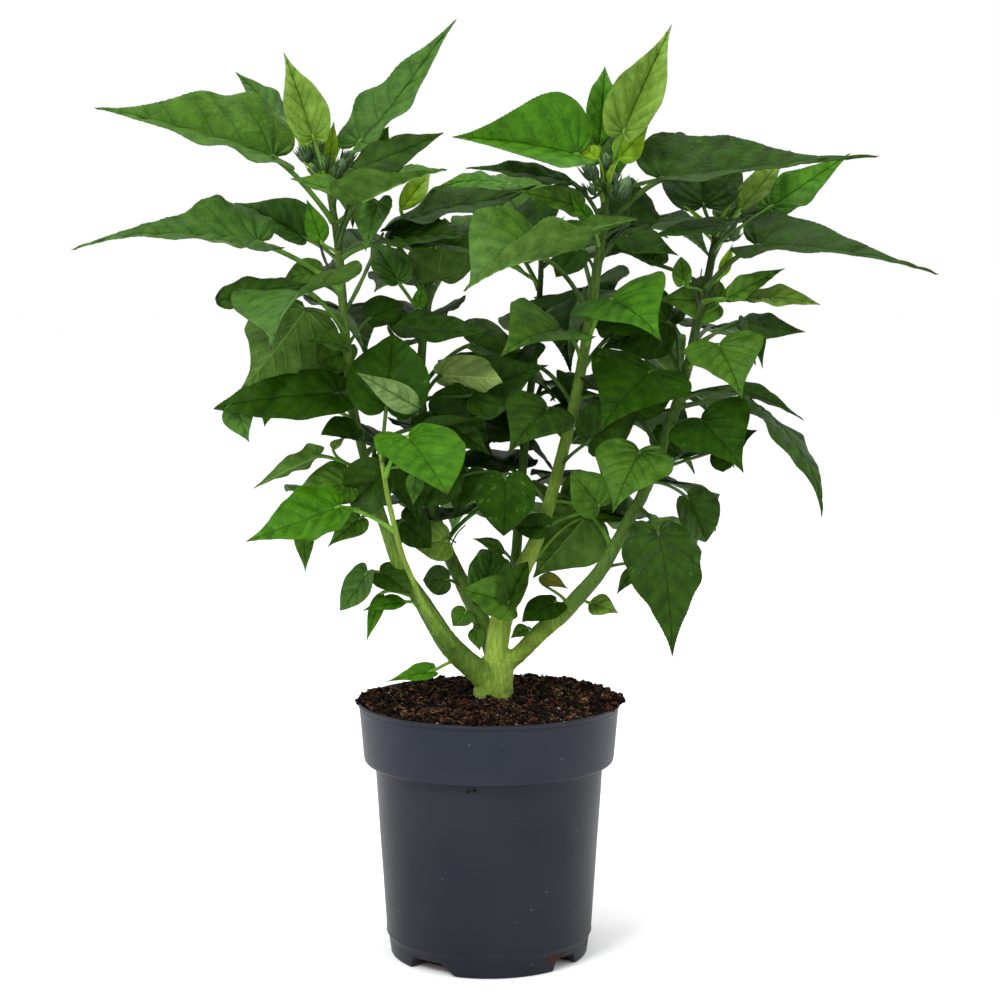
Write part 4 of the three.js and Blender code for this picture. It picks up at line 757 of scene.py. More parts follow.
# ---------------------------------------------------------------- wood
def wood_material():
    m = bpy.data.materials.new("green_bark")
    m.use_nodes = True
    nt = m.node_tree
    N, Lk = nt.nodes, nt.links
    b = N["Principled BSDF"]
    tc = N.new("ShaderNodeTexCoord")
    mp = N.new("ShaderNodeMapping")
    mp.inputs["Scale"].default_value = (1, 1, 0.09)
    Lk.new(tc.outputs["Object"], mp.inputs["Vector"])
    fibre = N.new("ShaderNodeTexNoise")
    fibre.inputs["Scale"].default_value = 760
    fibre.inputs["Detail"].default_value = 5
    Lk.new(mp.outputs["Vector"], fibre.inputs["Vector"])
    patch = N.new("ShaderNodeTexNoise")
    patch.inputs["Scale"].default_value = 70
    patch.inputs["Detail"].default_value = 4
    Lk.new(tc.outputs["Object"], patch.inputs["Vector"])
    age_light_shade = N.new("ShaderNodeAttribute")
    age_light_shade.attribute_name = "age_light_shade"
    scar = N.new("ShaderNodeAttribute")
    scar.attribute_name = "scar"

    def ramp(fac, stops):
        r = N.new("ShaderNodeValToRGB")
        el = r.color_ramp.elements
        while len(el) < len(stops):
            el.new(0.5)
        for e, (p, c) in zip(el, stops):
            e.position, e.color = p, c
        Lk.new(fac, r.inputs["Fac"])
        return r.outputs["Color"]

    def mix(fac, a, c, blend="MIX"):
        x = N.new("ShaderNodeMix")
        x.data_type = "RGBA"
        x.blend_type = blend
        if isinstance(fac, float):
            x.inputs["Factor"].default_value = fac
        else:
            Lk.new(fac, x.inputs["Factor"])
        Lk.new(a, x.inputs["A"])
        Lk.new(c, x.inputs["B"])
        return x.outputs["Result"]

    # the bark's paleness with age, together with the painted light and shade along the limbs
    green = ramp(age_light_shade.outputs["Fac"], [(0.0, srgb(24, 38, 10)), (0.2, srgb(38, 62, 17)), (0.4, srgb(56, 86, 24)), (0.7, srgb(88, 120, 34)), (1.0, srgb(122, 150, 46))])
    light = ramp(age_light_shade.outputs["Fac"], [(0.0, srgb(40, 56, 20)), (0.2, srgb(56, 84, 29)), (0.4, srgb(78, 108, 38)), (0.7, srgb(112, 140, 52)), (1.0, srgb(148, 170, 72))])
    f1 = ramp(fibre.outputs["Fac"], [(0.42, (0, 0, 0, 1)), (0.62, (1, 1, 1, 1))])
    col = mix(f1, green, light)
    dark = ramp(age_light_shade.outputs["Fac"], [(0.0, srgb(20, 30, 9)), (0.5, srgb(54, 76, 24)), (1.0, srgb(98, 116, 36))])
    f2 = ramp(patch.outputs["Fac"], [(0.40, (1, 1, 1, 1)), (0.56, (0, 0, 0, 1))])
    half = N.new("ShaderNodeMath")
    half.operation = "MULTIPLY"
    half.inputs[1].default_value = 0.45
    Lk.new(f2, half.inputs[0])
    col = mix(half.outputs["Value"], col, dark)
    brown = ramp(fibre.outputs["Fac"], [(0.35, srgb(62, 56, 30)), (0.65, srgb(120, 108, 62))])
    col = mix(scar.outputs["Fac"], col, brown)
    Lk.new(col, b.inputs["Base Color"])
    mr = N.new("ShaderNodeMapRange")
    mr.inputs["From Min"].default_value = 0.3
    mr.inputs["From Max"].default_value = 0.7
    mr.inputs["To Min"].default_value = 0.48
    mr.inputs["To Max"].default_value = 0.7
    Lk.new(patch.outputs["Fac"], mr.inputs["Value"])
    Lk.new(mr.outputs["Result"], b.inputs["Roughness"])
    b.inputs["Specular IOR Level"].default_value = 0.14
    bp = N.new("ShaderNodeBump")
    bp.inputs["Strength"].default_value = 0.7
    bp.inputs["Distance"].default_value = 0.45 * MM
    Lk.new(fibre.outputs["Fac"], bp.inputs["Height"])
    bp2 = N.new("ShaderNodeBump")
    bp2.inputs["Strength"].default_value = 0.35
    bp2.inputs["Distance"].default_value = 0.6 * MM
    Lk.new(patch.outputs["Fac"], bp2.inputs["Height"])
    Lk.new(bp.outputs["Normal"], bp2.inputs["Normal"])
    Lk.new(bp2.outputs["Normal"], b.inputs["Normal"])
    return m


def swap_modifiers(ob, steps):
    for kind, values in steps:
        mod = ob.modifiers.new(kind.lower(), kind)
        for k, v in values.items():
            setattr(mod, k, v)
    dg = bpy.context.evaluated_depsgraph_get()
    me = bpy.data.meshes.new_from_object(ob.evaluated_get(dg))
    ob.modifiers.clear()
    old = ob.data
    ob.data = me
    bpy.data.meshes.remove(old)
    return ob


SEAM = [(-12.6, -11.5, 196.5), (-7.0, -14.0, 199.5), (-1.5, -14.2, 202.0), (1.5, -14.0, 203.0)]
NODE = [(-24.0, -15.5, 211.5), (-20.5, -17.5, 212.0), (-17.0, -18.0, 213.5)]


def build_wood():
    from mathutils.kdtree import KDTree

    raw = Piece()
    for name, pts in STEMS.items():
        line = catmull(pts, 140)
        P, R = line[:, :3].copy(), line[:, 3].copy()
        if name == "trunk":
            # a root flare, carried a little way into the soil
            z = P[:, 2]
            R = R * (1 + 0.05 * np.exp(-np.maximum(z - 184, 0) / 4.0))
            P = np.vstack([P[0] - [0.2, 0, 9.0], P])
            R = np.r_[R[0] * 1.02, R]
        tube(raw, P, R, 20, 0)
    ob = raw.build("wood", [])
    swap_modifiers(ob, [("REMESH", {"mode": "VOXEL", "voxel_size": 0.00095, "use_smooth_shade": True}), ("SMOOTH", {"factor": 0.5, "iterations": 5})])
    me = ob.data
    n = len(me.vertices)
    co = np.zeros(n * 3, np.float32)
    no = np.zeros(n * 3, np.float32)
    me.vertices.foreach_get("co", co)
    me.vertices.foreach_get("normal", no)
    co, no = co.reshape(-1, 3).astype(float) / MM, no.reshape(-1, 3).astype(float)
    # the nearest limb and the place along it
    names = list(STEM_LINE)
    pts = np.vstack([STEM_LINE[k][:, :3] for k in names])
    who = np.repeat(np.arange(len(names)), 161)
    where = np.tile(np.arange(161), len(names))
    rad = np.concatenate([STEM_LINE[k][:, 3] for k in names])
    tree = KDTree(len(pts))
    for i, p in enumerate(pts):
        tree.insert(p, i)
    tree.balance()
    best = np.zeros(n, int)
    for i in range(n):
        cand = tree.find_n(co[i], 4)
        best[i] = min(cand, key=lambda c: abs(c[2] - rad[c[1]]))[1]
    centre = pts[best]
    r_here = rad[best]
    out = unit(co - centre)
    ang = np.arctan2(out[:, 1], out[:, 0])
    s = where[best] / 160
    z = co[:, 2]
    base = np.clip((262 - z) / 70, 0, 1)
    # fibres along the limb, stronger at the foot
    ph = 1.3 * waves(np.stack([z * 0.25, s * 30, who[best] * 9.0], -1), 9, 11)
    ridges = np.sin(9 * ang + ph * 2) * 0.5 + np.sin(17 * ang + ph * 3.1 + 1) * 0.3 + np.sin(29 * ang + ph * 4) * 0.2
    h = ridges * (0.02 + 0.11 * base) * np.minimum(1, r_here / 4)
    h = h + waves(co, 7, 21) * (0.08 + 0.16 * base) * np.minimum(1, r_here / 4)
    h = h + waves(co, 2.6, 22) * (0.03 + 0.09 * base)
    # the ring where the first stems were cut back, and the crease above it
    ring = z - (214.5 + 0.10 * co[:, 0] + 0.6 * np.sin(2 * ang))
    near = (np.abs(co[:, 0] - 8) < 17) & (np.abs(co[:, 1]) < 17)
    h = h - 0.16 * np.exp(-((ring / 0.8) ** 2)) * near + 0.12 * np.exp(-(((ring - 2.2) / 1.4) ** 2)) * near
    scar = np.zeros(n)
    scar = np.maximum(scar, 0.12 * np.exp(-((ring / 0.7) ** 2)) * near)
    # the crease where the left limb leaves the stump, and the old node above it
    for line, w, deep in ((SEAM, 0.9, 0.4), (NODE, 1.3, -0.9)):
        path = catmull(np.array(line, float), 30)
        dist = np.sqrt(((co[:, None] - path[None]) ** 2).sum(-1)).min(1)
        g = np.exp(-((dist / w) ** 2))
        h = h - deep * g
        scar = np.maximum(scar, (0.5 if deep > 0 else 0.35) * np.exp(-((dist / (w * 0.6)) ** 2)))
    # leaf scars: a swelling under each petiole, and older ones between
    r = rng_of("scars")
    spots = []
    for stem, rows in LEAVES.items():
        for row in rows:
            A = STEM_LINE[stem][int(round(row[1] * 160))]
            d = direction(row[2], row[3])
            spots.append((A[:3] + unit(d * [1, 1, 0.2]) * A[3], 1.0, max(1.5, A[3] * 0.5)))
    for stem in ("trunk", "center", "left", "right", "midleft"):
        for k in range(9):
            A = STEM_LINE[stem][int(r.uniform(4, 95))]
            a = r.uniform(0, 6.28)
            spots.append((A[:3] + np.array([math.cos(a), math.sin(a), 0.1]) * A[3], 0.55, 1.6))
    for p, k, w in spots:
        d2 = ((co - p) ** 2 * [1, 1, 1.3]).sum(1)
        g = np.exp(-d2 / (w * w))
        h = h + 0.55 * k * g * min(1, w / 2)
        below = ((co - (p - [0, 0, w * 0.9])) ** 2 * [0.5, 0.5, 3.2]).sum(1)
        scar = np.maximum(scar, 0.75 * k * np.exp(-below / 1.6))
    co2 = co + no * h[:, None]
    me.vertices.foreach_set("co", (co2 * MM).astype(np.float32).ravel())
    low = np.clip((300 - z) / 100, 0, 1)
    # the paleness values by height also hold painted light and shade: lighter on stretches that face the light, darker
    # on stretches shaded by limbs and leaves
    curve = {  # how pale the bark is by height, with painted light and shade
        "trunk": [(184, 0.62), (190, 0.78), (200, 0.84), (210, 0.88), (217, 0.95)],
        "center": [(212, 0.98), (250, 0.95), (292, 0.88), (345, 0.75), (430, 0.5), (520, 0.3), (560, 0.3)],
        "left": [(198, 0.8), (213, 0.54), (228, 0.48), (245, 0.4), (257, 0.42), (272, 0.5), (290, 0.62), (308, 0.55), (330, 0.4), (363, 0.42), (392, 0.4), (440, 0.44), (476, 0.42), (550, 0.32)],
        "shoot": [(220, 0.46), (232, 0.5), (246, 0.62), (262, 0.78), (300, 0.8), (370, 0.88)],
        "midleft": [(215, 0.5), (260, 0.45), (300, 0.55), (330, 0.4), (400, 0.3), (510, 0.3)],
        "right": [(212, 0.92), (232, 0.8), (245, 0.66), (257, 0.5), (275, 0.4), (300, 0.42), (400, 0.3), (520, 0.0)],
        "back": [(250, 0.4), (520, 0.2)],
    }
    age_light_shade = np.zeros(n)
    for k, name in enumerate(names):
        zs, vs = zip(*curve[name])
        age_light_shade = np.where(who[best] == k, np.interp(z, zs, vs), age_light_shade)
    for key, val in (("age_light_shade", age_light_shade), ("scar", np.clip(scar, 0, 1))):
        at = me.attributes.new(key, "FLOAT", "POINT")
        at.data.foreach_set("value", val.astype(np.float32))
    me.polygons.foreach_set("use_smooth", np.ones(len(me.polygons), bool))
    me.materials.clear()
    me.materials.append(wood_material())
    me.update()
    return ob


# ---------------------------------------------------------------- buds
MAT["bud"] = material("bud", srgb(58, 92, 48), srgb(92, 126, 72), (0.5, 0.65), 160, 3, (("noise", 700, 0.25, 0.4),), specular=0.3, sheen=0.2)
MAT["bract"] = material("bract", srgb(38, 62, 34), srgb(62, 90, 50), (0.5, 0.65), 160, 3, (("noise", 700, 0.2, 0.4),), specular=0.3)
MAT["twig"] = material("dry_twig", srgb(38, 40, 30), srgb(66, 62, 46), (0.6, 0.8), 200, 3, (("noise", 600, 0.25, 0.5),), specular=0.3)


def bud(piece, foot, axis, size, r, bracts=11):
    """a pointed ovoid calyx with five ribs, in a ring of narrow upcurved bracts"""
    axis = unit(axis)
    u = unit(np.cross(axis, [0.31, 0.2, 0.93]))
    v = np.cross(axis, u)
    n, m = 22, 30
    s = np.linspace(0, 1, n)
    prof = np.sin(math.pi * np.clip(s, 0, 1) ** 0.8) ** 0.75 * (1 - 0.25 * s)
    prof[0], prof[-1] = 0.25, 0.02
    a = np.linspace(0, 2 * math.pi, m, endpoint=False)
    rib = 1 + 0.05 * np.cos(5 * a)[None, :] * np.sin(math.pi * s)[:, None] + 0.015 * np.cos(15 * a + 1)[None, :]
    R = size * 0.5 * prof[:, None] * rib
    P = foot + axis * (s * size * 1.35)[:, None, None] + R[..., None] * (np.cos(a)[None, :, None] * u + np.sin(a)[None, :, None] * v)
    P = P.reshape(n, m, 3)
    i, j = np.meshgrid(np.arange(n - 1), np.arange(m), indexing="ij")
    k = (j + 1) % m
    quads = np.stack([i * m + j, i * m + k, (i + 1) * m + k, (i + 1) * m + j], -1).reshape(-1, 4)
    V = np.vstack([P.reshape(-1, 3), [foot, foot + axis * size * 1.42]])
    s0 = np.arange(m)
    tris = np.vstack([np.stack([np.full(m, n * m), (s0 + 1) % m, s0], -1), np.stack([np.full(m, n * m + 1), (n - 1) * m + s0, (n - 1) * m + (s0 + 1) % m], -1)])
    piece.add(V, quads, tris, 0, 0, np.stack([0.5 + 0.2 * np.cos(np.arange(len(V))), np.linspace(0, 1, len(V))], -1) * 0.5)
    for b in range(bracts):
        q = 2 * math.pi * (b + r.uniform(-0.2, 0.2)) / bracts
        side = math.cos(q) * u + math.sin(q) * v
        ln = size * r.uniform(1.0, 1.6)
        t = np.linspace(0, 1, 8)[:, None]
        spread = r.uniform(0.35, 0.75)
        path = foot + side * size * (0.22 + spread * t * (1 - 0.45 * t)) + axis * ln * (t**1.15) - axis * 0.4
        path = path + side * (r.uniform(-0.1, 0.25) * size * t**3)
        w = size * 0.085 * (1 - t[:, 0]) ** 0.6 * (1 + 0.6 * np.sin(math.pi * t[:, 0])) + 0.05
        tube(piece, path, w, 5, 1, uv_box=(0.5, 0, 1, 1))


# ---------------------------------------------------------------- pot
RIM_R, COLLAR_R, COLLAR_Z, TOP_R, TOP_Z, RING_Z, H = 95.0, 90.5, 142.8, 82.5, 138.8, 16.0, 184.5


def build_pot():
    """rings of points from the middle of the underside, out round the foot, up the
    wall and collar, over the lip and down inside; the notches bend the lower rings"""
    # each notch in the foot: from, to, and over how many degrees its two sides slope
    notches = [(-51.3, -17.6, 4.5, 12.0), (39.0, 61.5, 3.0, 7.0), (127.0, 154.0, 4.0, 9.0), (-143.0, -116.0, 4.0, 9.0)]
    angles = list(np.linspace(0, 360, 240, endpoint=False))
    for n0, n1, s0, s1 in notches:
        angles += list(np.linspace(n0 - 1, n0 + s0 + 1, 16) % 360) + list(np.linspace(n1 - s1 - 1, n1 + 1, 16) % 360)
    a = np.unique(np.round(np.radians(angles), 6))
    a = a[np.r_[True, np.diff(a) > 2e-3]]
    arch = np.zeros(len(a))
    for n0, n1, s0, s1 in notches:
        d = (np.degrees(a) - (n0 + n1) / 2 + 180) % 360 - 180 + (n0 + n1) / 2
        up = np.minimum(np.clip((d - n0) / s0, 0, 1), np.clip((n1 - d) / s1, 0, 1))
        arch = np.maximum(arch, 8.6 * up * up * (3 - 2 * up))
    inside = np.ones(len(a))
    rings = []  # radius, height, how far the notch lifts it, material

    def ring(r, z, lift=0.0, mat=0):
        rings.append((r, z, lift, mat))

    for r in (0.6, 4, 9, 9.8, 10.6, 20, 30, 30.7, 31.4, 31.9, 32.6, 44, 54):
        z = 1.1 - (0.5 if 9.5 < r < 31.0 else 0) + (0.3 if 30.5 < r < 32 else 0)
        ring(r, z)
    ring(57.2, 1.1)
    ring(57.6, 1.1, 1.0, 1)
    ring(62, 1.1, 1.0, 1)
    ring(66.8, 1.1, 1.0)
    ring(67.6, 0.5, 1.0)
    ring(68.4, 0.05, 1.0)
    ring(70.6, 0.0, 1.0)
    ring(71.3, 0.25, 1.0)
    ring(71.7, 0.9, 1.0)
    ring(71.9, 2.6, 0.93)
    ring(72.15, 4.6, 0.8)
    ring(72.5, 7.0, 0.6)
    ring(72.85, 9.5, 0.35)
    ring(73.2, 12.2, 0.12)
    ring(73.75, 13.8)
    ring(74.15, 14.6)
    ring(74.7, 15.2)
    ring(74.95, 15.8)
    ring(74.95, 16.5)
    ring(74.75, 17.2)
    for z in np.linspace(19, TOP_Z - 1.2, 26):
        ring(74.7 + (TOP_R - 74.7) * (z - 17.2) / (TOP_Z - 17.2), z)
    ring(TOP_R + 0.0, TOP_Z - 0.4)
    ring(TOP_R + 0.35, TOP_Z + 0.15)
    ring(TOP_R + 2.2, TOP_Z + 0.9)
    ring(TOP_R + 5.2, TOP_Z + 2.1)
    ring(COLLAR_R - 1.0, COLLAR_Z - 1.3)
    ring(COLLAR_R - 0.2, COLLAR_Z - 0.4)
    ring(COLLAR_R + 0.15, COLLAR_Z + 0.8)
    for z in np.linspace(COLLAR_Z + 3, H - 5.2, 12):
        ring(COLLAR_R + 0.15 + (RIM_R - 0.9 - COLLAR_R) * (z - COLLAR_Z) / (H - COLLAR_Z), z)
    ring(94.1, H - 4.2)
    ring(93.7, H - 3.5)
    ring(93.75, H - 3.0)
    ring(94.5, H - 2.5)
    ring(95.0, H - 1.9)
    ring(95.15, H - 1.2)
    ring(94.9, H - 0.5)
    ring(94.4, H - 0.1)
    ring(93.8, H + 0.0)
    ring(93.3, H - 0.25)
    ring(92.8, H - 0.9)
    ring(92.6, H - 2.5)
    ring(92.0, H - 8)
    ring(91.3, H - 16)
    n = len(rings)
    R = np.array([r[0] for r in rings])
    Z = np.array([r[1] for r in rings])
    Lf = np.array([r[2] for r in rings])
    rr = R[:, None] * np.ones(len(a))
    zz = Z[:, None] + Lf[:, None] * np.maximum(arch[None, :] - np.clip(Z, 0, 8.2)[:, None] * 0.75, 0) * inside[None, :]
    # a slightly uneven moulding
    P0 = np.stack([rr * np.sin(a), -rr * np.cos(a), zz], -1)
    bump = 0.12 * waves(P0, 60, 5) * (Z > 20)[:, None]
    rr = rr + bump
    P = np.stack([rr * np.sin(a), -rr * np.cos(a), zz], -1)
    m = len(a)
    i, j = np.meshgrid(np.arange(n - 1), np.arange(m), indexing="ij")
    k = (j + 1) % m
    quads = np.stack([i * m + j, i * m + k, (i + 1) * m + k, (i + 1) * m + j], -1).reshape(-1, 4)
    in_notch = (arch > 1.0) & (np.roll(arch, -1) > 1.0)
    mats = np.zeros((n - 1, m), int)
    for q in range(n - 1):
        if rings[q][3] == 1 or rings[q + 1][3] == 1:
            mats[q, in_notch] = 1
    # two slots low in the wall, where the peat shows
    deg = (np.degrees((a + np.roll(a, -1)) / 2) + 180) % 360 - 180
    outer = ((R[:-1] > 72.4) & (Z[:-1] > 6.9) & (Z[1:] < 12.4))[:, None]
    for d0, d1 in ((34.5, 46.5), (74.0, 78.0)):
        mats[outer & (deg > d0)[None] & (deg < d1)[None]] = 1
    V = np.vstack([P.reshape(-1, 3), [[0, 0, 0.6]]])
    tris = np.stack([np.full(m, n * m), np.arange(m), (np.arange(m) + 1) % m], -1)
    # faces point out of the plastic
    quads = quads[:, ::-1]
    tris = tris[:, ::-1]
    q = V[quads]
    fn = np.cross(q[:, 2] - q[:, 0], q[:, 3] - q[:, 1])
    wall = (R[i.ravel()] > 74) & (Z[i.ravel()] > 20) & (Z[i.ravel()] < 120)
    if (fn[wall] * q[wall].mean(1) * [1, 1, 0]).sum() < 0:
        quads, tris = quads[:, ::-1], tris[:, ::-1]
    piece = Piece()
    uu = np.tile(a / (2 * math.pi), n)
    dist = np.r_[0, np.cumsum(np.hypot(np.diff(R), np.diff(Z)))]
    vv = np.repeat(dist / dist[-1], m)
    uv = np.vstack([np.stack([uu, vv], -1), [[0.5, 0]]])
    piece.add(V, quads, tris, mats.ravel(), 0, uv)
    return piece.build("pot_shell", [plastic_material(), MAT["earth_red"]])


def plastic_material():
    m = bpy.data.materials.new("pot_plastic")
    m.use_nodes = True
    nt = m.node_tree
    N, Lk = nt.nodes, nt.links
    b = N["Principled BSDF"]
    tc = N.new("ShaderNodeTexCoord")
    big = N.new("ShaderNodeTexNoise")
    big.inputs["Scale"].default_value = 16
    big.inputs["Detail"].default_value = 5
    Lk.new(tc.outputs["Object"], big.inputs["Vector"])
    r1 = N.new("ShaderNodeValToRGB")
    r1.color_ramp.elements[0].position, r1.color_ramp.elements[0].color = 0.35, srgb(29, 33, 42)
    r1.color_ramp.elements[1].position, r1.color_ramp.elements[1].color = 0.65, srgb(36, 39, 47)
    Lk.new(big.outputs["Fac"], r1.inputs["Fac"])
    # pale specks and rubbed spots, few and small
    spot = N.new("ShaderNodeTexVoronoi")
    spot.inputs["Scale"].default_value = 95
    Lk.new(tc.outputs["Object"], spot.inputs["Vector"])
    near = N.new("ShaderNodeMapRange")
    near.inputs["From Min"].default_value = 0.02
    near.inputs["From Max"].default_value = 0.085
    near.inputs["To Min"].default_value = 1.0
    near.inputs["To Max"].default_value = 0.0
    Lk.new(spot.outputs["Distance"], near.inputs["Value"])
    some = N.new("ShaderNodeSeparateColor")
    Lk.new(spot.outputs["Color"], some.inputs["Color"])
    pick = N.new("ShaderNodeMath")
    pick.operation = "GREATER_THAN"
    pick.inputs[1].default_value = 0.7
    Lk.new(some.outputs["Red"], pick.inputs[0])
    both = N.new("ShaderNodeMath")
    both.operation = "MULTIPLY"
    Lk.new(near.outputs["Result"], both.inputs[0])
    Lk.new(pick.outputs["Value"], both.inputs[1])
    fine = N.new("ShaderNodeTexNoise")
    fine.inputs["Scale"].default_value = 900
    fine.inputs["Detail"].default_value = 2
    Lk.new(tc.outputs["Object"], fine.inputs["Vector"])
    # faint scratches round the wall
    mp = N.new("ShaderNodeMapping")
    mp.inputs["Scale"].default_value = (60, 60, 900)
    mp.inputs["Rotation"].default_value = (0.25, 0.12, 0)
    Lk.new(tc.outputs["Object"], mp.inputs["Vector"])
    scr = N.new("ShaderNodeTexNoise")
    scr.inputs["Scale"].default_value = 1.0
    scr.inputs["Detail"].default_value = 3
    Lk.new(mp.outputs["Vector"], scr.inputs["Vector"])
    line = N.new("ShaderNodeMapRange")
    line.inputs["From Min"].default_value = 0.70
    line.inputs["From Max"].default_value = 0.80
    Lk.new(scr.outputs["Fac"], line.inputs["Value"])
    add = N.new("ShaderNodeMath")
    add.operation = "MAXIMUM"
    Lk.new(both.outputs["Value"], add.inputs[0])
    soft = N.new("ShaderNodeMath")
    soft.operation = "MULTIPLY"
    soft.inputs[1].default_value = 0.35
    Lk.new(line.outputs["Result"], soft.inputs[0])
    Lk.new(soft.outputs["Value"], add.inputs[1])
    mark = N.new("ShaderNodeMath")
    mark.operation = "MULTIPLY"
    mark.inputs[1].default_value = 0.34
    Lk.new(add.outputs["Value"], mark.inputs[0])
    mx = N.new("ShaderNodeMix")
    mx.data_type = "RGBA"
    mx.inputs["B"].default_value = srgb(128, 134, 146)
    Lk.new(mark.outputs["Value"], mx.inputs["Factor"])
    Lk.new(r1.outputs["Color"], mx.inputs["A"])
    # painted shade: the wall under the collar is a little darker than the collar, and darkest at the foot
    xyz = N.new("ShaderNodeSeparateXYZ")
    Lk.new(tc.outputs["Object"], xyz.inputs["Vector"])
    tall = N.new("ShaderNodeMapRange")
    tall.inputs["From Max"].default_value = 0.19
    Lk.new(xyz.outputs["Z"], tall.inputs["Value"])
    shade = N.new("ShaderNodeValToRGB")
    se = shade.color_ramp.elements
    se.new(0.5)
    se.new(0.6)
    for e, (p, v) in zip(se, [(0.0, 0.76), (0.72, 0.87), (0.76, 1.06), (1.0, 1.08)]):
        e.position, e.color = p, (v, v, v, 1)
    Lk.new(tall.outputs["Result"], shade.inputs["Fac"])
    dim = N.new("ShaderNodeMix")
    dim.data_type = "RGBA"
    dim.blend_type = "MULTIPLY"
    dim.inputs["Factor"].default_value = 1.0
    Lk.new(mx.outputs["Result"], dim.inputs["A"])
    Lk.new(shade.outputs["Color"], dim.inputs["B"])
    Lk.new(dim.outputs["Result"], b.inputs["Base Color"])
    mr = N.new("ShaderNodeMapRange")
    mr.inputs["From Min"].default_value = 0.3
    mr.inputs["From Max"].default_value = 0.7
    mr.inputs["To Min"].default_value = 0.38
    mr.inputs["To Max"].default_value = 0.48
    Lk.new(big.outputs["Fac"], mr.inputs["Value"])
    Lk.new(mr.outputs["Result"], b.inputs["Roughness"])
    b.inputs["Specular IOR Level"].default_value = 0.13
    bp = N.new("ShaderNodeBump")
    bp.inputs["Strength"].default_value = 0.35
    bp.inputs["Distance"].default_value = 0.08 * MM
    Lk.new(fine.outputs["Fac"], bp.inputs["Height"])
    bp2 = N.new("ShaderNodeBump")
    bp2.inputs["Strength"].default_value = 0.25
    bp2.inputs["Distance"].default_value = 0.5 * MM
    Lk.new(big.outputs["Fac"], bp2.inputs["Height"])
    Lk.new(bp.outputs["Normal"], bp2.inputs["Normal"])
    Lk.new(bp2.outputs["Normal"], b.inputs["Normal"])
    return m


# ---------------------------------------------------------------- soil
def peat_material(name, stops, scale, green=0.0):
    """painted shade in the hollows and painted highlight on the tops of the lumps, where the bump's noise is lowest and
    highest, over brown peat with pale fibre ends and greenish patches
    """
    m = bpy.data.materials.new(name)
    m.use_nodes = True
    nt = m.node_tree
    N, Lk = nt.nodes, nt.links
    b = N["Principled BSDF"]
    tc = N.new("ShaderNodeTexCoord")
    fine = N.new("ShaderNodeTexNoise")
    fine.inputs["Scale"].default_value = scale
    fine.inputs["Detail"].default_value = 8
    fine.inputs["Roughness"].default_value = 0.72
    Lk.new(tc.outputs["Object"], fine.inputs["Vector"])
    # the near-black low stops are painted shade in the hollows, and the pale top stops are partly painted highlight,
    # since the same noise drives the bump
    ramp = N.new("ShaderNodeValToRGB")
    el = ramp.color_ramp.elements
    while len(el) < len(stops):
        el.new(0.5)
    for e, (p, c) in zip(el, stops):
        e.position, e.color = p, srgb(*c)
    Lk.new(fine.outputs["Fac"], ramp.inputs["Fac"])
    wide = N.new("ShaderNodeTexNoise")
    wide.inputs["Scale"].default_value = 38
    wide.inputs["Detail"].default_value = 5
    Lk.new(tc.outputs["Object"], wide.inputs["Vector"])
    patch = N.new("ShaderNodeMapRange")
    patch.inputs["From Min"].default_value = 0.56
    patch.inputs["From Max"].default_value = 0.68
    patch.inputs["To Max"].default_value = green
    Lk.new(wide.outputs["Fac"], patch.inputs["Value"])
    moss = N.new("ShaderNodeMix")
    moss.data_type = "RGBA"
    moss.inputs["B"].default_value = srgb(46, 46, 24)
    Lk.new(patch.outputs["Result"], moss.inputs["Factor"])
    Lk.new(ramp.outputs["Color"], moss.inputs["A"])
    Lk.new(moss.outputs["Result"], b.inputs["Base Color"])
    rough = N.new("ShaderNodeMapRange")
    rough.inputs["To Min"].default_value = 0.7
    rough.inputs["To Max"].default_value = 1.0
    Lk.new(fine.outputs["Fac"], rough.inputs["Value"])
    Lk.new(rough.outputs["Result"], b.inputs["Roughness"])
    b.inputs["Specular IOR Level"].default_value = 0.08
    bp = N.new("ShaderNodeBump")
    bp.inputs["Strength"].default_value = 0.9
    bp.inputs["Distance"].default_value = 1.8 * MM
    Lk.new(fine.outputs["Fac"], bp.inputs["Height"])
    Lk.new(bp.outputs["Normal"], b.inputs["Normal"])
    return m


MAT["earth"] = peat_material("peat", [(0.38, (5, 3, 3)), (0.50, (15, 9, 7)), (0.58, (38, 24, 17)), (0.67, (96, 68, 48)), (0.80, (170, 138, 106))], 360, 0.55)
MAT["earth_red"] = material("peat_red", srgb(40, 19, 17), srgb(62, 31, 27), (0.8, 0.95), 300, 5, (("noise", 500, 1.2, 0.8),), specular=0.2)
MAT["crumb_dark"] = peat_material("crumb_dark", [(0.38, (5, 4, 3)), (0.52, (15, 9, 7)), (0.62, (40, 25, 18)), (0.75, (96, 68, 48))], 700)
MAT["crumb_brown"] = peat_material("crumb_brown", [(0.36, (24, 12, 8)), (0.5, (60, 35, 25)), (0.61, (112, 72, 52)), (0.75, (164, 124, 94))], 700)
MAT["bark_chip"] = material("bark_chip", srgb(80, 46, 28), srgb(140, 92, 60), (0.75, 0.95), 400, 4, (("noise", 900, 0.5, 0.7),), specular=0.25)
MAT["perlite"] = material("white_grain", srgb(188, 178, 164), srgb(226, 220, 208), (0.7, 0.9), 500, 3, (("noise", 1200, 0.3, 0.6),), specular=0.3)
MAT["moss"] = material("moss", srgb(50, 62, 26), srgb(86, 98, 44), (0.8, 0.95), 600, 4, (("noise", 1400, 0.6, 0.8),), specular=0.15)
MAT["fibre"] = material("peat_fibre", srgb(84, 56, 38), srgb(160, 124, 90), (0.8, 0.95), 500, 3, (("noise", 1400, 0.3, 0.6),), specular=0.2)

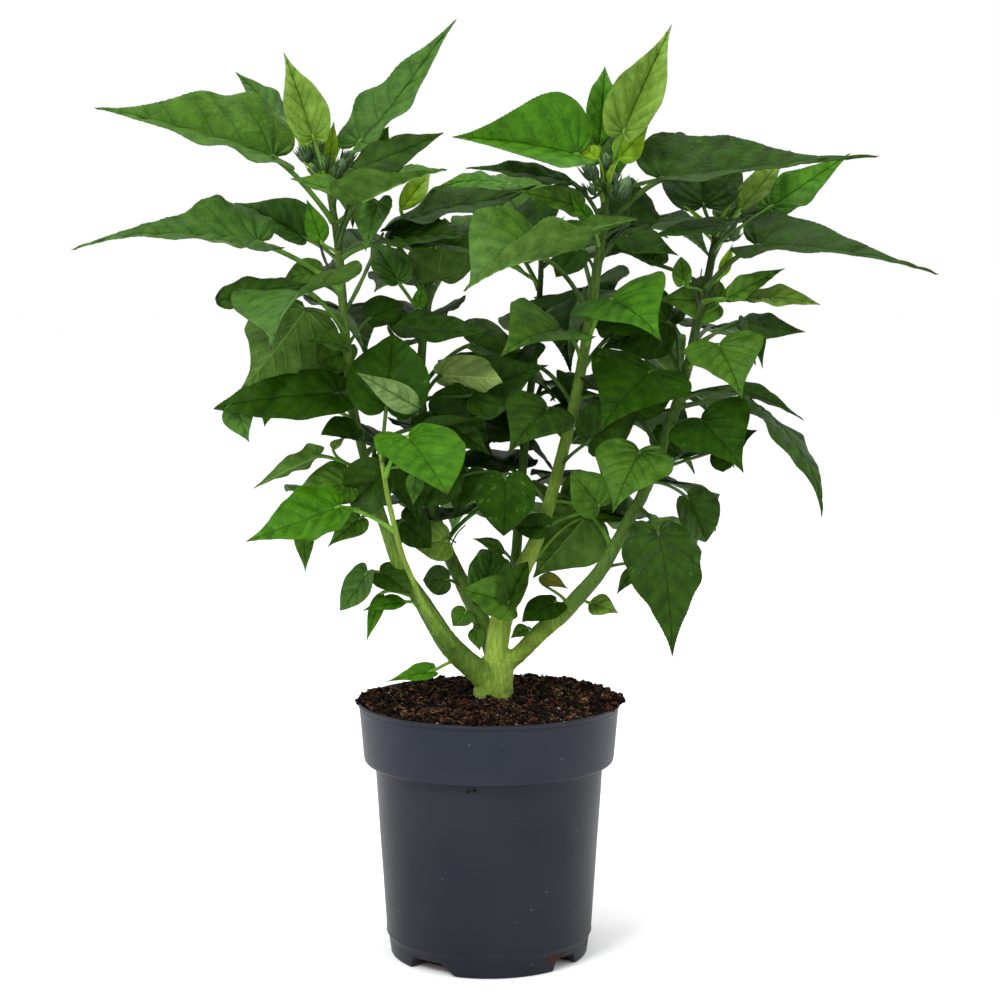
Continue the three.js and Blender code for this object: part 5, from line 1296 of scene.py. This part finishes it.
MAT["fibre_pale"] = material("peat_fibre_pale", srgb(112, 86, 60), srgb(170, 140, 108), (0.8, 0.95), 500, 3, (("noise", 1400, 0.3, 0.6),), specular=0.2)


def soil_height(x, y):
    """the lie of the soil: near the rim's height in front, heaped at the back right"""
    x, y = np.asarray(x, float), np.asarray(y, float)
    r = np.hypot(x, y)
    lean = np.clip((0.75 * x + 0.66 * y) / 92, -1, 1)
    z = 182.6 + 3.4 * np.clip(lean, 0, 1) - 1.6 * np.clip(-lean, 0, 1) * (r < 80)
    z = z + 3.2 * np.exp(-(((x - 62) / 26) ** 2 + ((y - 34) / 30) ** 2))
    z = z + 2.4 * np.exp(-(((x - 22) / 18) ** 2 + ((y - 58) / 16) ** 2))
    z = z + 1.6 * np.exp(-(((x + 50) / 24) ** 2 + ((y - 40) / 22) ** 2))
    z = z - 1.5 * np.exp(-(((x + 28) / 15) ** 2 + ((y - 12) / 16) ** 2))
    z = z - 1.2 * np.exp(-(((x - 42) / 16) ** 2 + ((y + 20) / 14) ** 2))
    z = z + 5.2 * np.exp(-(((x - 3) / 24) ** 2 + ((y + 13) / 20) ** 2))  # banked against the trunk
    edge = np.clip((r - 82) / 11, 0, 1)
    keep = np.clip((0.9 * x + 0.5 * y) / 92, 0, 1)  # bits rest against the lip at the right
    z = z * (1 - edge) + (182.6 + 1.7 * keep) * edge
    P = np.stack([x, y, np.zeros_like(x)], -1)
    z = z + 1.25 * waves(P, 16, 31) + 1.15 * waves(P, 7, 32) * (1 - 0.6 * edge)
    z = z + (1.3 * np.abs(waves(P, 4.2, 33)) + 0.45 * waves(P, 2.0, 34) + 0.3 * waves(P, 1.2, 35)) * (1 - 0.4 * edge)
    return z


def build_soil():
    out = []
    rad = np.r_[np.linspace(6, 92.55, 100)]
    a = np.linspace(0, 2 * math.pi, 300, endpoint=False)
    R, A = np.meshgrid(rad, a, indexing="ij")
    X, Y = R * np.sin(A), -R * np.cos(A)
    Z = soil_height(X, Y)
    Z[-1] = np.minimum(Z[-1], 182.2)
    P = np.stack([X, Y, Z], -1)
    # skirt and underside, hidden in the pot, close the piece
    low = np.stack([R[-1] * 0.99 * np.sin(a), -R[-1] * 0.99 * np.cos(a), np.full(len(a), 172.0)], -1)
    V = np.vstack([P.reshape(-1, 3), low, [[0, 0, 172.0]], [[0, 0, 183.0]]])
    n, m = R.shape
    i, j = np.meshgrid(np.arange(n - 1), np.arange(m), indexing="ij")
    k = (j + 1) % m
    quads = np.stack([i * m + j, (i + 1) * m + j, (i + 1) * m + k, i * m + k], -1).reshape(-1, 4)
    s = np.arange(m)
    s1 = (s + 1) % m
    skirt = np.stack([(n - 1) * m + s, n * m + s, n * m + s1, (n - 1) * m + s1], -1)
    tris = np.vstack([np.stack([np.full(m, (n + 1) * m), n * m + s1, n * m + s], -1), np.stack([np.full(m, (n + 1) * m + 1), s, s1], -1)])
    quads = np.vstack([quads, skirt])
    q = V[quads]
    if np.cross(q[:, 2] - q[:, 0], q[:, 3] - q[:, 1])[: 2000, 2].sum() < 0:
        quads, tris = quads[:, ::-1], tris[:, ::-1]
    piece = Piece()
    uv = V[:, :2] / 200 + 0.5
    piece.add(V, quads, tris, 0, 0, uv)
    out.append(piece.build("soil_top", [MAT["earth"]]))

    # loose crumbs, chips, grains, moss and fibres lying on it
    r = rng_of("crumbs")
    base = bpy.data.meshes.new("tmp")
    import bmesh

    def rock(sub):
        bm = bmesh.new()
        bmesh.ops.create_icosphere(bm, subdivisions=sub, radius=1)
        v = np.array([x.co[:] for x in bm.verts])
        f = np.array([[w.index for w in x.verts] for x in bm.faces])
        bm.free()
        return v, f

    ball = rock(2)
    small = rock(1)
    bpy.data.meshes.remove(base)
    crumbs = Piece()
    kinds = [  # count, size, flatness, slot, fine mesh
        (2000, (0.6, 1.9), (0.5, 0.95), 0, small),
        (150, (1.8, 4.2), (0.45, 0.75), 0, ball),
        (1150, (0.4, 1.7), (0.45, 0.9), 1, small),
        (140, (1.4, 3.4), (0.4, 0.7), 1, ball),
        (130, (0.5, 1.5), (0.3, 0.6), 2, small),
        (16, (1.8, 2.8), (0.25, 0.45), 2, ball),
        (130, (0.3, 0.75), (0.7, 1.0), 3, small),
        (150, (0.6, 1.5), (0.5, 0.9), 4, small),
    ]
    moss_spots = [(-62, 18, 12), (42, 26, 16), (58, 8, 14), (20, -34, 12), (-46, 44, 10), (30, 52, 12), (70, -10, 10)]
    for count, size, flat, slot_i, (bv, bf) in kinds:
        for c in range(count):
            if slot_i == 4:
                mx, my, ms = moss_spots[int(r.integers(len(moss_spots)))]
                x, y = mx + r.normal() * ms * 0.6, my + r.normal() * ms * 0.5
            else:
                q, w = r.uniform(0, 2 * math.pi), 91.5 * math.sqrt(r.uniform(0.02, 1))
                x, y = w * math.sin(q), -w * math.cos(q)
            if not 15.5 < math.hypot(x, y) < 91.5:
                continue
            s = r.uniform(*size)
            if math.hypot(x, y) > 88:
                s *= 0.6
            sx, sy, sz = s * r.uniform(0.7, 1.3), s * r.uniform(0.6, 1.0), s * r.uniform(*flat)
            v = bv * [sx, sy, sz]
            v = v * (1 + 0.5 * waves(bv * 1.0, 1.1, int(r.integers(1 << 30)), 5))[:, None]
            ax = r.uniform(-0.6, 0.6, 2)
            yaw = r.uniform(0, 6.28)
            cy, sy_ = math.cos(yaw), math.sin(yaw)
            M = np.array([[cy, -sy_, 0], [sy_, cy, 0], [0, 0, 1]]) @ np.array([[1, 0, 0], [0, math.cos(ax[0]), -math.sin(ax[0])], [0, math.sin(ax[0]), math.cos(ax[0])]]) @ np.array([[math.cos(ax[1]), 0, math.sin(ax[1])], [0, 1, 0], [-math.sin(ax[1]), 0, math.cos(ax[1])]])
            z = float(soil_height(np.array([x]), np.array([y]))[0]) + 0.25 * sz
            v = v @ M.T + [x, y, z]
            crumbs.add(v, None, bf, slot_i, slot_i, v[:, :2] / 200 + 0.5)
    # bits heaped over the lip at the right and the left
    for k in range(150):
        right = k % 5 < 3
        q = math.radians(r.uniform(58, 128) if right else r.uniform(-112, -78))
        w = r.uniform(83, 95.5) if right else r.uniform(86, 95)
        s = r.uniform(1.2, 3.6) * (1 if right else 0.8)
        x, y = w * math.sin(q), -w * math.cos(q)
        v = ball[0] * [s, s * r.uniform(0.6, 1.0), s * r.uniform(0.5, 0.9)]
        v = v * (1 + 0.5 * waves(ball[0] * 1.0, 1.0, int(r.integers(1 << 30)), 5))[:, None]
        v = v + [x, y, 184.2 + r.uniform(0, 1) ** 2 * (3.6 if right else 1.8) * (0.4 + 0.6 * math.sin(abs(q)))]
        kind = int(r.choice([0, 0, 0, 0, 1, 1]))
        crumbs.add(v, None, ball[1], kind, kind, v[:, :2] / 200 + 0.5)
    for k in range(7):
        q = math.radians(-8.2 + r.uniform(-2.0, 2.0))
        v = small[0] * r.uniform(0.5, 1.15)
        v = v * (1 + 0.4 * waves(small[0] * 1.0, 1.0, int(r.integers(1 << 30)), 5))[:, None]
        v = v + [82.3 * math.sin(q), -82.3 * math.cos(q), 137.4 - 2.2 * r.uniform(0, 1)]
        crumbs.add(v, None, small[1], 0, 0, v[:, :2] / 200 + 0.5)
    out.append(crumbs.build("soil_crumbs", [MAT["crumb_dark"], MAT["crumb_brown"], MAT["bark_chip"], MAT["perlite"], MAT["moss"]], smooth=False))
    fibres = Piece()
    for c in range(950):
        q, w = r.uniform(0, 2 * math.pi), 90 * math.sqrt(r.uniform(0.03, 1))
        x, y = w * math.sin(q), -w * math.cos(q)
        if c % 9 == 0:  # a pale tuft at the front left
            x, y = r.normal(-50, 7), r.normal(-40, 6)
        if math.hypot(x, y) < 17:
            continue
        ln = r.uniform(2, 8)
        yaw = r.uniform(0, 6.28)
        t = np.linspace(-0.5, 0.5, 6)
        bend = r.normal() * 0.22
        px = x + ln * (t * math.cos(yaw) - bend * t**2 * math.sin(yaw))
        py = y + ln * (t * math.sin(yaw) + bend * t**2 * math.cos(yaw))
        if np.hypot(px, py).max() > 91.5:
            continue
        pz = soil_height(px, py)
        pz = np.maximum(pz, pz.mean()) + r.uniform(0.2, 0.9) + np.abs(t) * r.uniform(-0.8, 2.0)
        tube(fibres, np.stack([px, py, pz], -1), np.full(6, r.uniform(0.07, 0.17)), 4, int(c % 6 == 0))
    out.append(fibres.build("soil_fibres", [MAT["fibre"], MAT["fibre_pale"]]))
    return out

# ---------------------------------------------------------------- the foliage, mass by mass
MASSES = {
    "left_top": (-130, 0, 575), "left_upper": (-155, -20, 495), "left_middle": (-140, -20, 400), "left_lower": (-100, -30, 300),
    "front_shoot": (-55, -85, 375), "inner_left_top": (-45, 60, 520), "inner_left_lower": (-45, 80, 370),
    "centre_top": (75, 10, 610), "centre_upper": (50, -40, 515), "centre_middle": (75, -35, 415), "centre_lower": (35, -10, 310),
    "right_top": (180, 10, 550), "right_upper": (190, -20, 470), "right_lower": (140, 0, 340),
    "back_top": (60, 140, 500), "back_lower": (50, 110, 360),
}

# young leaves still opening round each growing tip: stem, how many, length
YOUNG = {"left": (6, 26), "center": (7, 26), "right": (6, 24), "midleft": (5, 24), "back": (5, 24), "shoot": (2, 14)}


def young_rows():
    rows = {}
    for stem, (count, size) in YOUNG.items():
        r = rng_of("young", stem)
        rows[stem] = []
        for k in range(count):
            s = k / max(1, count - 1)
            L = size * (1.15 - 0.75 * s) * r.uniform(0.85, 1.15)
            az = (k * 137.5 + r.uniform(-20, 20) + 40) % 360
            el = 48 + 30 * s + r.uniform(-8, 8)
            rows[stem].append(["Y%d" % k, round(0.955 + 0.045 * s, 3), az, el, L * 0.35, az, el + 4, L, L * r.uniform(0.34, 0.44), r.uniform(-25, 25), r.uniform(30, 52), 0.05, r.uniform(-12, 12), 0, "n" + ("y" if k % 3 else "b")])
    return rows


# parts of a larger leaf beside them, which have no stalk of their own
JOINED = ("L20b", "L24t", "L25b", "L72b")


def build_leaves():
    todo = {m: [] for m in MASSES}
    extra = young_rows()
    for stem in LEAVES:
        for row in LEAVES[stem] + extra.get(stem, []):
            A = STEM_LINE[stem][int(round(row[1] * 160))][:3]
            mid = A + row[4] * direction(row[2], row[3]) + 0.45 * row[7] * direction(row[5], row[6])
            near = min(MASSES, key=lambda m: np.linalg.norm(mid - MASSES[m]))
            todo[near].append((stem, row))
    out = []
    stalks = Piece()
    total = sum(len(v) for v in todo.values())
    side = math.ceil(math.sqrt(total))
    count = 0
    for mass, items in todo.items():
        piece = Piece()
        tones = sorted({row[14][1] for _, row in items})
        kinds = sorted({UNDER[t] for t in tones})
        mats = [MAT["up_" + t] for t in tones] + [MAT["vein_" + t] for t in tones] + [MAT["under_" + k] for k in kinds] + [MAT["rib_" + k] for k in kinds]
        nt, nk = len(tones), len(kinds)
        grid = math.ceil(math.sqrt(2 * len(items)))
        cells = iter([((i % grid) / grid, (i // grid) / grid, 0.96 / grid) for i in range(2 * len(items))])
        slots = {
            "uv": lambda: {"up": next(cells), "low": next(cells)},
            "up": {t: i for i, t in enumerate(tones)},
            "vein": {t: nt + i for i, t in enumerate(tones)},
            "under": {k: 2 * nt + i for i, k in enumerate(kinds)},
            "rib": {k: 2 * nt + nk + i for i, k in enumerate(kinds)},
        }
        for stem, row in items:
            res = 0 if row[0][0] == "X" else 1
            A, B, c, N = leaf(piece, slots, stem, row, res)
            x0, y0 = (count % side) / side, (count // side) / side
            if row[0] in JOINED:
                continue
            petiole(stalks, {"b": 0, "l": 0, "y": 0, "m": 2, "g": 2, "o": 2}.get(row[14][1], 1), stem, row[1], A, B, c, row[7], rng_of("stalk", stem, row[0]), (x0, y0, x0 + 0.96 / side, y0 + 0.96 / side))
            count += 1
        ob = piece.build("leaves_" + mass, mats)
        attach(ob, "root")
        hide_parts("foliage_" + mass)
        out.append((ob.name, piece.triangles(), len(items)))
    ob = stalks.build("petioles", [MAT["petiole"], MAT["petiole_d"], MAT["petiole_m"]])
    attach(ob, "root")
    out.append((ob.name, stalks.triangles(), count))
    return out


# buds at the growing tips: foot, axis, size
BUDS = [
    ((82.9, 1, 566.0), (0.0, -0.1, 1.0), 8.0), ((73.5, -2, 558.0), (-0.35, -0.2, 0.9), 10.0), ((91.5, -5, 545.5), (0.45, -0.3, 0.85), 12.5),
    ((68.5, 2, 546.5), (-0.6, -0.1, 0.8), 7.0), ((87.4, 6, 556.0), (0.3, 0.3, 0.9), 6.5), ((79.0, 18, 552.0), (-0.1, 0.7, 0.7), 9.0), ((74.0, -6, 548.0), (-0.3, -0.6, 0.7), 6.0),
    ((-107.5, -5, 560.0), (0.4, -0.3, 0.85), 10.5), ((-116.0, -3, 564.0), (-0.1, -0.2, 1.0), 8.0), ((-121.5, 0, 561.0), (-0.5, -0.1, 0.85), 7.5),
    ((-112.0, 8, 563.0), (0.1, 0.6, 0.8), 9.0), ((-128.7, 4.0, 570.9), (-0.35, -0.3, 0.85), 9.5), ((-121.2, 8.0, 573.3), (-0.15, 0.0, 1.0), 10.5), ((-103.1, 2.0, 567.3), (0.45, -0.2, 0.8), 9.5), ((-118.0, 6, 557.0), (-0.6, 0.5, 0.6), 7.0),
    ((166.0, 4, 522.0), (0.3, -0.2, 0.9), 8.0), ((172.5, 6, 516.0), (0.7, 0.0, 0.7), 7.0), ((160.5, 6, 519.0), (-0.4, 0.0, 0.9), 6.5), ((165.0, 13, 517.0), (0.1, 0.7, 0.7), 7.5),
    ((-40.0, 42, 515.0), (0.0, -0.1, 1.0), 7.0), ((-45.0, 46, 510.0), (-0.5, 0.2, 0.85), 6.0), ((-35.5, 47, 511.0), (0.5, 0.3, 0.8), 6.5),
    ((39.6, 93, 523.0), (0.0, 0.0, 1.0), 7.0), ((35.0, 97, 517.0), (-0.5, 0.4, 0.8), 6.0), ((44.0, 96, 518.0), (0.5, 0.3, 0.8), 6.5),
    ((-75.4, -52, 372.0), (0.0, -0.1, 1.0), 4.0),
]

# thin dry stalks left where leaves have dropped: points and radius
DRY = [
    ([(-22, 22, 274), (-28, 14, 290), (-24, 10, 303), (-17, 8, 311)], 0.7),
    ([(-24, 16, 297), (-30, 9, 302), (-34, 7, 300)], 0.5),
    ([(151, 4, 466), (147, 1, 479), (143, -1, 491)], 0.9),
    ([(146, 0, 483), (150, -2, 489), (151, -3, 495)], 0.6),
    ([(152, 4, 470), (159, 1, 477), (164, -1, 487)], 0.8),
    ([(-104, -2, 484), (-114, -5, 497), (-119, -7, 512), (-120, -8, 520)], 1.1),
    ([(-103, -6, 462), (-90, -10, 486), (-78, -12, 512), (-74, -13, 520)], 1.5),
    ([(60, 24, 400), (66, 20, 414), (76, 16, 420)], 0.8),
    ([(-47, 38, 372), (-55, 32, 384), (-58, 30, 395)], 0.8),
]


def build_small():
    r = rng_of("buds")
    buds = Piece()
    for foot, axis, size in BUDS:
        bud(buds, np.array(foot, float), np.array(axis, float), size, r)
    ob = buds.build("buds", [MAT["bud"], MAT["bract"]])
    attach(ob, "root")
    # short stalks that hold the buds to the tips
    stalks = Piece()
    tips = {k: STEM_LINE[k][-1][:3] for k in STEM_LINE if k != "trunk"}
    for foot, axis, size in BUDS:
        foot = np.array(foot, float)
        tip = min(tips.values(), key=lambda p: np.linalg.norm(p - foot))
        start = tip - [0, 0, 3.0 + 0.2 * size]
        s = np.linspace(0, 1, 8)[:, None]
        ctrl = foot - unit(np.array(axis, float)) * 0.5 * np.linalg.norm(foot - start)
        P = (1 - s) ** 2 * start + 2 * s * (1 - s) * ctrl + s**2 * (foot + unit(np.array(axis, float)) * 0.6)
        tube(stalks, P, np.linspace(0.16 * size, 0.13 * size, 8), 8, 0)
    for pts, rad in DRY:
        P = catmull(np.array([list(p) + [rad] for p in pts]), 16)
        R = P[:, 3] * np.linspace(1.15, 0.7, 17) * (1 + 0.12 * np.sin(np.arange(17) * 1.9))
        tube(stalks, P[:, :3], R, 8, 1 if rad < 1.3 else 0)
    ob = stalks.build("twigs", [MAT["petiole_d"], MAT["twig"]])
    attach(ob, "root")


made = build_leaves()
build_small()

wood = build_wood()
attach(wood, "root")
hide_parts("trunk", "stem_centre", "stem_left", "stem_right", "stem_inner_left", "shoot_front", "stem_back")
wood.name = "bark"

for ob in build_soil():
    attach(ob, "root")
    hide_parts("soil")
pot = build_pot()
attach(pot, "root")
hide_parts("pot")


# ---------------------------------------------------------------- floor, light and camera
def build_floor():
    me = bpy.data.meshes.new("floor")
    n = 24
    g = 30 * np.linspace(-1, 1, n) ** 3
    X, Y = np.meshgrid(g, g, indexing="ij")
    V = np.stack([X.ravel(), Y.ravel(), np.full(n * n, -0.0002)], -1)
    i, j = np.meshgrid(np.arange(n - 1), np.arange(n - 1), indexing="ij")
    F = np.stack([i * n + j, (i + 1) * n + j, (i + 1) * n + j + 1, i * n + j + 1], -1).reshape(-1, 4)
    me.from_pydata(V.tolist(), [], F.tolist())
    me.materials.append(material("floor_paper", srgb(254, 254, 254), srgb(255, 255, 255), (0.9, 0.98), 3, 2, (("noise", 40, 0.2, 0.1),), specular=0.0))
    ob = bpy.data.objects.new("floor", me)
    bpy.context.scene.collection.objects.link(ob)


def area(name, at, look, size, power, colour=(1, 1, 1)):
    li = bpy.data.lights.new(name, "AREA")
    li.shape = "RECTANGLE"
    li.size, li.size_y = size
    li.energy = power
    li.color = colour
    ob = bpy.data.objects.new(name, li)
    bpy.context.scene.collection.objects.link(ob)
    ob.location = at
    ob.rotation_euler = (Vector(look) - Vector(at)).to_track_quat("-Z", "Y").to_euler()
    return ob


build_floor()
world = bpy.data.worlds.new("studio")
bpy.context.scene.world = world
world.use_nodes = True
bg = world.node_tree.nodes["Background"]
bg.inputs["Color"].default_value = (1, 1, 1, 1)
bg.inputs["Strength"].default_value = 1.0
area("key", (-1.3, -2.0, 2.4), (0, 0, 0.4), (1.0, 1.0), 58)
area("fill", (1.9, -1.7, 1.3), (0, 0, 0.35), (1.4, 1.4), 8)
area("top", (0.2, 0.4, 2.6), (0, 0, 0.4), (1.2, 1.2), 20)
area("strip_left", (-1.7, 0.5, 0.5), (0, 0, 0.2), (0.5, 1.6), 8)
area("strip_right", (1.7, 0.5, 0.5), (0, 0, 0.2), (0.5, 1.6), 8)

cam = bpy.data.cameras.new("camera")
cam.sensor_width = 36
cam.lens = 36 * 2.128
cam.clip_start, cam.clip_end = 0.05, 50
eye = bpy.data.objects.new("camera", cam)
bpy.context.scene.collection.objects.link(eye)
eye.location = (0.008, -1.520, 0.4857)
eye.rotation_euler = (math.radians(90 - 5.85), 0, 0)
bpy.context.scene.camera = eye
bpy.context.scene.view_settings.view_transform = "Standard"

print("pieces", made)
